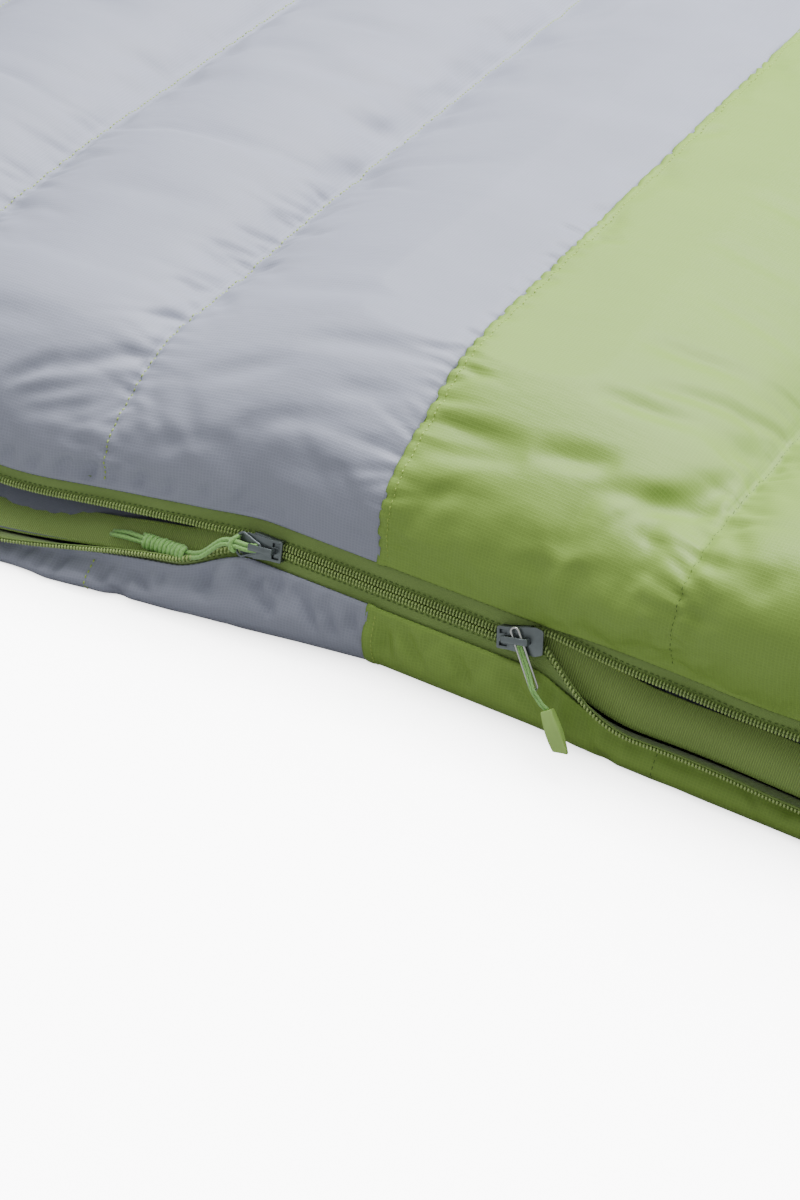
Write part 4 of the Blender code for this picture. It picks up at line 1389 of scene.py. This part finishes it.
def seam_line(
    piece: Piece, axis: int, value: float, reach: Point
) -> list[tuple[Vector, Vector]]:
    """Follow one column or row of a sheet.

    Args:
        piece: The sheet, before its thickness.
        axis: 0 for a column of one x, 1 for a row of one s.
        value: The column's x or the row's s.
        reach: The lowest and highest value on the other axis.

    Returns:
        The line's points and their normals, in order.
    """
    places, points, normals = param_of(piece), points_of(piece), normals_of(piece)
    other = places[:, 1 - axis]
    on_line = (np.abs(places[:, axis] - value) < 1e-4) & (other >= reach[0]) & (other <= reach[1])
    chosen = np.nonzero(on_line)[0]
    chosen = chosen[np.argsort(other[chosen])]
    return [(Vector(points[index]), Vector(normals[index])) for index in chosen]


def stitch_row(
    name: str, line: Sequence[tuple[Vector, Vector]], look: Finish, body: str, size: float = 0.0005
) -> Piece:
    """Lay one row of stitches on a line over cloth.

    Args:
        name: The piece's name.
        line: Points and normals to follow.
        look: The thread's finish.
        body: The body that it rides on.
        size: The thread's thickness.

    Returns:
        The row of stitches.
    """
    places: list[Matrix] = []
    left = STITCH_PITCH / 2
    for (a, normal), (b, after) in zip(line, line[1:]):
        length = (b - a).length
        if length < 1e-7:
            continue
        while left < length:
            share = left / length
            up = normal.lerp(after, share)
            origin = a.lerp(b, share) + up * size * 0.1
            places.append(basis(origin, b - a, up, Vector((STITCH_PITCH * 0.72, size, size))))
            left += STITCH_PITCH
        left -= length
    piece = finished(name, scattered(stitch_bead(), places), look)
    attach(piece, body)
    return piece


def sew_shell(filled: FilledLayer) -> None:
    """The rows of stitches on one layer's shell: its quilting, its panels' seam and its lip."""
    word, body = filled.word, filled.layer.value
    reach = (0.008, 0.80) if filled.upper else (0.008, 0.060)
    for panel, piece in filled.panels.items():
        green = panel is Panel.GREEN
        thread, size = (DARK_THREAD, 0.0004) if green else (SEAM_THREAD, 0.0010)
        for x in (x for x in filled.quilting() if (x > 0) == green):
            row = f"{word}_quilting_{panel.value}_{abs(round(1000 * x))}"
            stitch_row(row, seam_line(piece, 0, x, reach), thread, body, size)
        lip = seam_line(piece, 1, LIP_ROW, (-HALF_LENGTH + 0.004, HALF_LENGTH - 0.004))
        thread = DARK_THREAD if green else GREY_THREAD
        stitch_row(f"{word}_lip_stitches_{panel.value}", lip, thread, body, 0.00045)
    green_panel = filled.panels[Panel.GREEN]
    edge = min(value for value in param_of(green_panel)[:, 0] if value > 0.0015)
    seam = seam_line(green_panel, 0, edge, reach)
    stitch_row(f"{word}_panel_seam_stitches", seam, SEAM_THREAD, body, 0.0007)


def replace_packed(piece: Piece, body: str, *nodes: str) -> None:
    """Ride a piece on a body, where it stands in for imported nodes."""
    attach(piece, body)
    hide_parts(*nodes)


def declare_strip(piece: Piece, length: float, rests_on: Sequence[str]) -> None:
    """Log the cut width and length of a sewn-on strip of cloth, from its flat size before its
    thickness.

    Args:
        piece: The strip.
        length: How long it was cut.
        rests_on: Not used.
    """
    flat = sum(face.area for face in piece.data.polygons)
    LOG.info("%s: cut %.1f mm wide and %.3f m long", piece.name, 1000 * flat / length, length)


# ---------------------------------------------------------------------------------------------
# The zipper
# ---------------------------------------------------------------------------------------------


@dataclass
class ZipperHalf:
    """One edge's tape, coil, sewing thread, anti-snag strip, stop, pin and film tab."""

    edge: Edge
    tooth_thickness: float = 0.00112

    @property
    def word(self) -> str:
        """The first word of this half's node names."""
        return self.edge.layer.word

    @property
    def body(self) -> str:
        """The body that this half rides on."""
        return self.edge.layer.value

    def build(self) -> None:
        """Build every piece of this half."""
        self.build_tape()
        self.build_coil()
        self.build_strip()
        self.build_ends()

    def build_tape(self) -> None:
        """The woven tape, from under the shell's lip to the coil's inner side."""
        edge = self.edge
        side = 1.0 if edge.layer is Layer.UPPER else -1.0
        inner_side = edge.coil_end - COIL_WIDTH

        def place(x: float, s: float) -> Vector:
            """A point at s across the tape, which gives way where the coil has moved."""
            share = s / edge.coil_end
            end = edge.coil_end + edge.coil_shift(x) - 0.0004
            ripple = 0.0005 * math.sin(math.pi * min(1.0, max(0.0, share)))
            ripple *= math.sin(95.0 * x + side) * ease(1.0 - abs(share - 0.5) * 2.0)
            reach = s if s < LIP else LIP + (s - LIP) / (edge.coil_end - LIP) * (end - LIP)
            return edge.point(x, reach, ripple - 0.0001)

        rows = [-0.0015, 0.0, LIP, 0.0050, 0.0070, 0.0090, inner_side, edge.coil_end]
        columns = stepped(-TAPE_END, TAPE_END, CLOSE_UP, TAPE_STEPS)
        bm = grid_sheet(columns, sorted(rows), place)
        piece = finished(f"{self.word}_tape_cloth", bm, TAPE_CLOTH)
        face_towards(piece, edge.state(0.0)[2])
        declare_strip(piece, 2 * TAPE_END, [f"{self.word}_lining_cloth"])
        thicken(piece, THIN_CLOTH)
        replace_packed(piece, self.body, f"{self.word}_tape")
        guide = inner_side - 0.0011
        groove = [
            (edge.point(x, guide + edge.coil_shift(x), 0.00035), edge.state(x)[2]) for x in columns
        ]
        stitch_row(f"{self.word}_tape_guide", groove, COIL_THREAD, self.body, 0.0006)

    def tooth(self) -> Shape:
        """One turn of the coil: a rib across the tape with a dip where the thread holds it."""
        bm = bmesh.new()
        bmesh.ops.create_cone(bm, cap_ends=True, segments=6, radius1=0.5, radius2=0.5, depth=1.0)
        long_edges = [e for e in bm.edges if abs(e.verts[0].co.z - e.verts[1].co.z) > 0.5]
        bmesh.ops.subdivide_edges(bm, edges=long_edges, cuts=5, use_grid_fill=True)
        heights = (0.50, 0.92, 1.00, 0.74, 1.02, 0.98, 0.62)
        widths = (0.55, 0.78, 0.82, 0.72, 0.90, 1.10, 0.80)
        for vert in bm.verts:
            share = vert.co.z + 0.5
            index = round(share * 6)
            across, up = vert.co.x, vert.co.y + 0.5
            vert.co = (
                across * self.tooth_thickness * widths[index],
                share * COIL_WIDTH,
                0.0001 + up * COIL_HEIGHT * heights[index],
            )
        bmesh.ops.recalc_face_normals(bm, faces=bm.faces)
        return bm

    def build_coil(self) -> None:
        """The coil's turns and the chain stitch that runs through their dips."""
        edge = self.edge
        phase = 0.5 if edge.layer is Layer.UPPER else 0.0
        start, end = -TAPE_END + 0.0125, TAPE_END - 0.0045
        teeth, threads = [], []
        for index in range(int((end - start) / COIL_PITCH)):
            x = start + COIL_PITCH * (index + phase)
            _, along, out = edge.state(x)
            corner = edge.point(x, edge.coil_end - COIL_WIDTH + edge.coil_shift(x), 0.0)
            sideways = along.cross(out)
            teeth.append(axes_matrix(sideways, along, out, corner))
            at = corner + along * COIL_WIDTH * 0.50 + out * COIL_HEIGHT * 0.72
            at += sideways * COIL_PITCH / 2
            threads.append(basis(at, sideways, out, Vector((COIL_PITCH * 0.95, 0.0006, 0.0005))))
        piece = finished(f"{self.word}_coil_turns", scattered(self.tooth(), teeth), COIL_NYLON)
        replace_packed(piece, self.body, f"{self.word}_coil")
        stitches = scattered(stitch_bead(), threads)
        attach(finished(f"{self.word}_coil_thread", stitches, COIL_THREAD), self.body)

    def build_strip(self) -> None:
        """The ribbed strip that stands behind the chain."""
        edge = self.edge
        lower = edge.layer is Layer.LOWER
        side = 1.0 if lower else -1.0

        def shape(x: float) -> Point:
            """The strip's lean and its width."""
            # The upper strip widens where the edge has opened, so that its darker grosgrain fills
            # the shaded underside below the upper coil with painted shade
            if not lower:
                return LEAN - math.radians(10.0), 0.0045 + 0.0075 * ease((abs(x) - 0.11) / 0.05)
            lean = 29.0 + ((45.0 if x > 0 else 65.0) - 29.0) * min(1.0, openness(x))
            return math.radians(lean), RIBBON_WIDTH if x > 0 else 0.0188

        def place(x: float, s: float) -> Vector:
            """A point at a share of the strip's width, with its sway, waves and bulge."""
            share = min(1.0, openness(x)) if lower else 0.0
            lean, width = shape(x)
            first = edge.point(x, LIP - 0.0006, -0.0026)
            up = Vector((0.0, side * math.sin(lean), side * math.cos(lean)))
            flat = Vector((0.0, math.cos(lean), -math.sin(lean)))
            sway = wander(x, 0.0016, 1.3) + 0.0018 * math.exp(-(((x + 0.152) / 0.006) ** 2))
            sway = (sway + 0.0015 * math.exp(-(((x + 0.118) / 0.008) ** 2))) * share * s
            edge_wave = 0.0008 * math.sin(60.0 * x + 0.5) * s * share
            bulge = -0.0016 * math.sin(math.pi * s) * share
            return first + up * (s * width + edge_wave) + flat * (sway + bulge)

        rows = [0.0, 0.2, 0.4, 0.6, 0.8, 0.96, 1.0] if lower else [0.0, 0.5, 1.0]
        columns = stepped(-TAPE_END + 0.025, TAPE_END - 0.004, CLOSE_UP, TAPE_STEPS)
        bm = grid_sheet(columns, rows, place)
        shrink_v(bm, RIBBON_WIDTH)
        # The lower strip takes the lightened grosgrain, painted light, and the upper strip the
        # darker one, painted shade
        piece = finished(f"{self.word}_ribbon", bm, RIBBON if lower else RIBBON_PAINTED_SHADE)
        face_towards(piece, edge.state(0.0)[2])
        subdivide(piece)
        declare_strip(piece, columns[-1] - columns[0], [f"{self.word}_lining_cloth"])
        thicken(piece, THIN_CLOTH)
        replace_packed(piece, self.body, f"{self.word}_anti_snag_strip")
        if lower:
            outs = [(x, edge.state(x)[2]) for x in columns]
            line = [(place(x, 0.96) + out * 0.0003, out) for x, out in outs]
            stitch_row("lower_ribbon_stitches", line, SEAM_THREAD, self.body, 0.0004)

    def build_ends(self) -> None:
        """Stop, pin and film tab at the ends of the tape."""
        looks = {"top_stop": SLIDER_METAL, "foot_pin": SLIDER_METAL, "film_tab": FILM}
        for part, look in looks.items():
            node = f"{self.word}_{part}"
            rounded_copy(node, f"{node}_finished", look, 0.0002, self.body)


def round_edges(
    bm: Shape, edges: Sequence[bmesh.types.BMEdge], radius: float, segments: int
) -> None:
    """Round some of a mesh's edges."""
    bmesh.ops.bevel(bm, geom=edges, offset=radius, affect="EDGES", segments=segments, profile=0.5,
                    material=-1, clamp_overlap=True)  # fmt: skip


def rounded_copy(node: str, name: str, look: Finish, radius: float, body: str) -> None:
    """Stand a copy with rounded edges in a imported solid's place.

    Args:
        node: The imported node.
        name: The copy's name.
        look: Its finish.
        radius: How far its edges are rounded.
        body: The body that it rides on.
    """
    bm = bmesh.new()
    bm.from_mesh(frame["nodes"][node].data)
    bmesh.ops.remove_doubles(bm, verts=bm.verts, dist=0.00001)
    bmesh.ops.dissolve_limit(bm, angle_limit=0.03, verts=bm.verts, edges=bm.edges)
    bmesh.ops.recalc_face_normals(bm, faces=bm.faces)
    sharp = [e for e in bm.edges if len(e.link_faces) == 2 and e.calc_face_angle() > 0.6]
    round_edges(bm, sharp, radius, 2)
    piece = finished(name, bm, look)
    piece.data.set_sharp_from_angle(angle=math.radians(50.0))
    replace_packed(piece, body, node)


# ---------------------------------------------------------------------------------------------
# Sliders and pulls
# ---------------------------------------------------------------------------------------------


def slider_frame(tail_x: float, turn: float, to_head: bool) -> Matrix:
    """Matrix from (u, w, n) to world: u from the slider's tail to its nose, n out of the quilt."""
    along = Vector((1.0, 0.0, 0.0))
    across = Vector((0.0, math.sin(LEAN), math.cos(LEAN)))
    out = along.cross(across)
    u = along * math.cos(turn) + across * math.sin(turn)
    if not to_head:
        u = -u
    return axes_matrix(u, out.cross(u), out, (tail_x, CHAIN_Y, CHAIN_Z))


def round_loop(width: float, start: float, end: float, nose: float = 1.0) -> list[Point]:
    """Points of a closed loop with round ends, whose far end is nose times as wide."""
    radius = width / 2
    far = radius * nose
    angles = [math.pi * step / 12 for step in range(13)]
    points = [(start + radius - radius * math.sin(a), -radius * math.cos(a)) for a in angles]
    points += [(end - far * 0.7 + far * 0.7 * math.sin(a), far * math.cos(a)) for a in angles]
    return points


def wire_loop(
    name: str, points: Sequence[Vector], diameter: float, look: Finish
) -> Piece:
    """A closed round wire through points."""
    curve = bpy.data.curves.new(name, "CURVE")
    curve.dimensions = "3D"
    curve.bevel_depth = diameter / 2
    curve.bevel_resolution = 4
    line = curve.splines.new("POLY")
    line.points.add(len(points) - 1)
    for slot, point in zip(line.points, points):
        slot.co = (*point, 1.0)
    line.use_cyclic_u = True
    guide = stood(name, curve)
    graph = bpy.context.evaluated_depsgraph_get()
    mesh = bpy.data.meshes.new_from_object(guide.evaluated_get(graph))
    bpy.data.objects.remove(guide)
    return dressed(name, mesh, look)


def length_of(points: Sequence[Vector]) -> float:
    """The length of a line through points."""
    return sum((b - a).length for a, b in zip(points, points[1:]))


def cord_piece(name: str, points: Sequence[Vector], diameter: float, body: str) -> Piece:
    """A braided cord along points."""
    piece = finished(name, tube_mesh(points, diameter / 2, 10), CORD_BRAID)
    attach(piece, body)
    return piece


@dataclass
class Slider:
    """A slider's packed metal pieces, rounded and dressed."""

    side: str
    tail_x: float
    turn: float

    @property
    def frame(self) -> Matrix:
        """Matrix from the slider's own (u, w, n) to world."""
        return slider_frame(self.tail_x, self.turn, self.side == "head")

    def build(self) -> None:
        """The body, the guard, the crown and the lock."""
        body = f"{self.side}_slider"
        for part, radius in (("body", 0.00025), ("guard", 0.00028), ("crown", 0.00035)):
            node = f"{body}_{part}"
            rounded_copy(node, f"{node}_cast", SLIDER_METAL, radius, body)
        rounded_copy(f"{body}_lock", f"{body}_lock_pin", BRIGHT_METAL, 0.0002, f"{self.side}_lock")


@dataclass
class HeadPull:
    """The head slider's hanging wire bail, doubled cord and moulded tip."""

    frame: Matrix
    wire: float = 0.0013
    strand: float = 0.0014
    angle: float = math.radians(23.0)
    end: float = 0.0250
    above: float = 0.0065

    def place(self, down: float, side: float, lift: float) -> Vector:
        """A point given down the pull, to its side and out of it."""
        along = Vector((math.sin(self.angle), -math.cos(self.angle), 0.0))
        across = Vector((math.cos(self.angle), math.sin(self.angle), 0.0))
        middle = Vector((BAIL_U, 0.0, BAIL_LEVEL))
        return self.frame @ (middle + along * down + across * side + Vector((0.0, 0.0, lift)))

    def build(self) -> None:
        """Build the bail, the two strands and the tip."""
        loop = [self.place(a, b, 0.0) for a, b in round_loop(0.0042, -self.above, self.end)]
        bail = wire_loop("head_bail_wire", loop, self.wire, BRIGHT_METAL)
        replace_packed(bail, "head_pull", "head_bail")
        over = 0.0023
        route = [
            (0.0030, 0.0, 0.0004),
            (0.0100, 0.0, 0.0006),
            (0.0160, 0.0, 0.0010),
            (0.0210, 0.0, over * 0.8),
            (self.end, 0.0003, over + 0.0004),
            (self.end + 0.0040, 0.0012, over),
            (self.end + 0.0075, 0.0024, 0.0026),
            (self.end + 0.0105, 0.0040, 0.0020),
        ]
        strands = []
        for index, sign in enumerate((-1.0, 1.0)):
            gap = sign * self.strand * 0.52
            points = through([self.place(a, b + gap, c) for a, b, c in route], 26)
            piece = cord_piece(f"head_pull_strand_{index + 1}", points, self.strand, "head_pull")
            strands.append((piece, points))
        (_, left), (_, right) = strands
        turn = through([left[0], self.place(0.0015, 0.0, 0.0004), right[0]], 8)
        cord_piece("head_pull_turn", turn, self.strand, "head_pull")
        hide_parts("head_pull_cord")
        tip = self.build_tip((left[-1] + right[-1]) / 2)

    def build_tip(self, cord_end: Vector) -> Piece:
        """The moulded tip: a flat block with round edges, cut slantwise at its end."""
        axis = Vector((0.575, -0.372, -0.728)).normalized()
        side = axis.cross(OUT).normalized()
        out = side.cross(axis)
        bm = bmesh.new()
        bmesh.ops.create_cube(bm, size=1.0)
        bmesh.ops.subdivide_edges(bm, edges=bm.edges, cuts=3, use_grid_fill=True)
        for vert in bm.verts:
            share = vert.co.z + 0.5
            wide = 0.0062 + 0.0020 * ease(share / 0.55) - 0.0010 * ease((share - 0.75) / 0.25)
            thick = 0.0040 + 0.0012 * ease(share / 0.30) - 0.0026 * ease((share - 0.35) / 0.65)
            slant = 0.0030 * vert.co.x * ease((share - 0.6) / 0.4)
            vert.co = (vert.co.x * wide, vert.co.y * thick, 0.0002 + share * 0.0215 - slant)
        rim = [e for e in bm.edges if len(e.link_faces) == 2 and e.calc_face_angle() > 0.9]
        round_edges(bm, rim, 0.0010, 3)
        turned = axes_matrix(side, out, axis, cord_end)
        bmesh.ops.transform(bm, matrix=turned, verts=bm.verts)
        bmesh.ops.recalc_face_normals(bm, faces=bm.faces)
        tip = finished("head_pull_tip_moulded", bm, TIP_PLASTIC)
        subdivide(tip)
        replace_packed(tip, "head_pull", "head_pull_tip")
        return tip


@dataclass
class FootPull:
    """The foot slider's flared bail, its doubled cord, the bound grip and the cut ends."""

    frame: Matrix
    cord: float = 0.0024
    bail_length: float = 0.0150
    whip_length: float = 0.0290
    turns: int = 10

    def build(self) -> None:
        """Build the bail, the strands and the binding."""
        reach = 0.0007
        start = BAIL_U - reach
        shape = round_loop(0.0050, start, start + self.bail_length, nose=2.5)
        loop = [self.frame @ Vector((u, w, BAIL_LEVEL)) for u, w in shape]
        bail = wire_loop("foot_bail_wire", loop, 0.0015, SLIDER_METAL)
        replace_packed(bail, "foot_pull", "foot_bail")
        end = self.frame @ Vector((start + self.bail_length, 0.0, BAIL_LEVEL))
        middle = [
            self.frame @ Vector((BAIL_U + 0.0012, 0.0, BAIL_LEVEL + 0.0008)),
            end + Vector((0.0072, 0.0, 0.0)) + OUT * 0.0012,
            end + OUT * 0.0022,
            end + Vector((-0.0070, -0.0020, -0.0012)) + OUT * 0.0010,
            end + Vector((-0.0168, -0.0069, -0.0099)),
            end + Vector((-0.0258, -0.0064, -0.0144)),
        ]
        axis = Vector((-1.0, 0.02, -0.09)).normalized()
        knot = middle[-1] + axis * 0.0009
        far = knot + axis * self.whip_length
        side = Vector((0.0, 0.62, 0.78))
        for index, sign in enumerate((-1.0, 1.0)):
            tail = far + axis * 0.0200 + side * sign * 0.0022 + Vector((0.0, 0.0, -0.0035 * index))
            gap = side * sign * self.cord * 0.52
            line = [point + gap for point in middle]
            bound = (0.15, 0.5, 0.85)
            line += [knot + axis * self.whip_length * share + gap * 0.9 for share in bound]
            line.append(far + axis * 0.006 + gap * 1.15)
            line += [(far + tail) / 2 + gap * 0.8 + Vector((0.0, 0.0, 0.0008)), tail]
            points = through(line, 44)
            piece = cord_piece(f"foot_pull_strand_{index + 1}", points, self.cord, "foot_pull")
        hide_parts("foot_pull_cord", "foot_pull_tail_1")
        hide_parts("foot_pull_tail_2")
        whipping = self.build_whipping(knot, axis)
        hitch = self.build_hitch(end)

    def build_whipping(self, start: Vector, axis: Vector) -> Piece:
        """The turns of cord bound round the two strands."""
        side = axis.cross(OUT).normalized()
        up = side.cross(axis)
        radius = 0.0040 - self.cord / 2
        pitch = (self.whip_length - self.cord) / self.turns
        count = 16 * self.turns
        points = []
        for index in range(count + 1):
            turn = index / 16
            angle = 2.0 * math.pi * turn
            uneven = 1.0 + 0.05 * math.sin(1.7 * turn) + 0.03 * math.sin(4.1 * turn)
            ring = side * math.cos(angle) * 1.12 + up * math.sin(angle) * 0.92
            points.append(start + axis * (self.cord / 2 + pitch * turn) + ring * radius * uneven)
        piece = finished("foot_pull_whipping", tube_mesh(points, self.cord * 0.56, 8), CORD_BRAID)
        replace_packed(piece, "foot_pull", "foot_pull_grip")
        return piece

    def build_hitch(self, end: Vector) -> Piece:
        """The turn of cord that hitches both strands to the bail's far end."""
        side = Vector((0.0, 0.62, 0.78))
        ring = []
        for step in range(25):
            angle = 2.0 * math.pi * step / 24
            around = OUT * math.sin(angle) * 0.0026 + side * math.cos(angle) * 0.0040
            skew = Vector((0.0010 * math.cos(2 * angle), 0.0, 0.0))
            ring.append(end + skew + around + OUT * 0.0010)
        piece = finished("foot_pull_hitch", tube_mesh(ring, self.cord * 0.5, 8), CORD_BRAID)
        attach(piece, "foot_pull")
        return piece


# ---------------------------------------------------------------------------------------------
# Hems and the side seam
# ---------------------------------------------------------------------------------------------


def build_hems(filled: FilledLayer) -> None:
    """The bound ends of one layer: a folded tape round the sewn-flat edge, with its stitches."""
    hem_z = UPPER_HEM_Z if filled.upper else LOWER_HEM_Z
    corners = upper_shell_corners if filled.upper else lower_shell_corners
    body = filled.layer.value
    reach = [-HEM_REACH, *evenly(-HEM_REACH, HEM_REACH, 0.0015)]
    for end, sign in (("foot", -1.0), ("head", 1.0)):
        x = sign * HALF_LENGTH
        first = corners(x)[0]
        last = Vector((x, SEAM_Y - 0.0010, FOLD_Z + (0.003 if filled.upper else -0.003)))
        route = [first, Vector((x, first.y + 0.020, 0.5 * (first.z + hem_z)))]
        route += [Vector((x, y, hem_z)) for y in (-0.250, -0.100, 0.050, 0.200, 0.300)]
        route += [Vector((x, 0.350, 0.5 * (hem_z + last.z))), last]
        path = through(route, 150)

        def place(run: float, across: float) -> Vector:
            """A point of the binding, folded round the path."""
            at = path[min(len(path) - 1, round(run / HEM_LENGTH * (len(path) - 1)))]
            angle = across / HEM_REACH * math.radians(100.0)
            thick = 0.0030 + 0.0006 * math.sin(run * 260.0)
            outward = 0.0065 * math.cos(angle * 0.9) ** 2
            up = thick * math.sin(angle) * (1.0 if abs(angle) < 1.5 else 0.9)
            return at + Vector((sign * (outward - 0.001), 0.0, up))

        runs = [HEM_LENGTH * index / (len(path) - 1) for index in range(len(path))]
        name = f"{filled.word}_{end}_binding"
        piece = finished(name, grid_sheet(runs, reach, place), BINDING)
        face_towards(piece, (sign, 0.0, 0.0))
        subdivide(piece)
        declare_strip(piece, length_of(path), [f"{filled.word}_lining_cloth"])
        thicken(piece, BINDING_CLOTH)
        replace_packed(piece, body, f"{filled.word}_{end}_hem")
        up = Vector((0.0, 0.0, 1.0))
        line = [(p + Vector((-sign * 0.0005, 0.0, 0.0032)), up) for p in path]
        stitch_row(f"{name}_stitches", line, SEAM_THREAD, body)


def build_side_binding() -> None:
    """The binding along the sewn side seam."""
    low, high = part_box("side_seam_binding")

    def place(x: float, s: float) -> Vector:
        """A point at a share of the binding's width, from the lower layer to the upper."""
        swing = math.radians(80.0) * (2.0 * s - 1.0)
        y = low.y - 0.0010 + 0.0021 * math.cos(swing) + 0.0002 * math.sin(700.0 * x)
        return Vector((x, y, FOLD_Z + (high.z - FOLD_Z) * math.sin(swing)))

    columns = stepped(-HALF_LENGTH, HALF_LENGTH, (0.0, 0.0), (0.0060, 0.0060))
    rows = [index / 8 for index in range(9)]
    bm = grid_sheet(columns, rows, place)
    shrink_v(bm, high.z - low.z)
    piece = finished("side_binding_cloth", bm, BINDING)
    away = Vector((0.0, 1.0, 0.0))
    face_towards(piece, away)
    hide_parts("side_seam_binding")
    thicken(piece, THIN_CLOTH)
    apply_modifiers(piece)
    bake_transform(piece)  # fmt: skip
    for layer, share in ((Layer.LOWER, 0.14), (Layer.UPPER, 0.86)):
        line = [(place(x, share) + away * 0.0003, away) for x in columns]
        stitch_row(f"side_binding_stitches_{layer.word}", line, SEAM_THREAD, layer.value, 0.0005)


# ---------------------------------------------------------------------------------------------
# Floor, light and camera
# ---------------------------------------------------------------------------------------------


def build_stage() -> None:
    """A pale floor that glows for the camera, a soft sky and soft lamps. Ambient occlusion dims the
    floor's glow near the quilt, a painted contact shadow, and light that bounces off the floor sees
    it darker than the camera does.
    """
    bm = bmesh.new()
    bmesh.ops.create_grid(bm, x_segments=1, y_segments=1, size=40.0)
    floor = stood("floor", from_bmesh("floor", bm))
    paint = Graph("pale_floor", (0.93, 0.93, 0.93), 0.9)
    paint.set("Specular IOR Level", 0.1)
    seen = paint.node("LightPath", {}).outputs["Is Camera Ray"]
    paint.colour(paint.mixed(seen, (0.40, 0.40, 0.40), (0.95, 0.95, 0.95)))
    paint.set("Emission Color", (1.0, 1.0, 1.0, 1.0))
    # Ambient occlusion dims the glow near the quilt: a painted contact shadow
    painted_contact_shadow = paint.node("AmbientOcclusion", {"Distance": 0.05}).outputs["AO"]
    glow_with_painted_shadow = paint.math("MULTIPLY", seen, paint.spread(painted_contact_shadow, 0.10 * GLOW, GLOW))
    paint.tree.links.new(glow_with_painted_shadow, paint.shader.inputs["Emission Strength"])
    floor.data.materials.append(paint.made)
    floor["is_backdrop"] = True
    world = bpy.context.scene.world or bpy.data.worlds.new("sky")
    bpy.context.scene.world = world
    world.use_nodes = True
    sky = world.node_tree.nodes["Background"]
    sky.inputs["Color"].default_value = (1.0, 1.0, 1.0, 1.0)
    sky.inputs["Strength"].default_value = SKY
    for name, place, target, size, power in LAMPS:
        lamp = bpy.data.lights.new(name, "AREA")
        lamp.shape = "DISK"
        lamp.size = size
        lamp.energy = power
        holder = stood(name, lamp)
        holder.location = place
        holder.rotation_mode = "QUATERNION"
        holder.rotation_quaternion = (Vector(target) - Vector(place)).to_track_quat("-Z", "Y")


def build_camera() -> None:
    """A camera over the zipper, turned towards the head end."""
    right = Vector((0.85717, 0.51504, 0.0))
    up = Vector((-0.33106, 0.55098, 0.76604))
    data = bpy.data.cameras.new("camera")
    data.lens = 68.64
    data.sensor_width = 36.0
    data.clip_start = 0.05
    holder = stood("camera", data)
    holder.matrix_world = axes_matrix(right, up, right.cross(up), (0.46075, -1.07935, 0.77446))
    bpy.context.scene.camera = holder


def main() -> None:
    """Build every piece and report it."""
    logging.basicConfig(level=logging.INFO, format="%(name)s: %(message)s")
    build_camera()
    head = Slider("head", HEAD_TAIL_X, HEAD_TURN)
    foot = Slider("foot", FOOT_TAIL_X, FOOT_TURN)
    for slider in (head, foot):
        slider.build()
    HeadPull(head.frame).build()
    FootPull(foot.frame).build()
    LOG.info("sliders and pulls built")
    for layer in Layer:
        filled = FilledLayer(layer)
        for panel in Panel:
            filled.build_panel(panel)
        filled.build_lining()
        sew_shell(filled)
        build_hems(filled)
    for edge in (LOWER, UPPER):
        ZipperHalf(edge).build()
    build_side_binding()
    build_stage()
    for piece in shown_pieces():
        LOG.info("%s: %d faces", piece.name, len(piece.data.polygons))


if __name__ == "__main__":
    main()
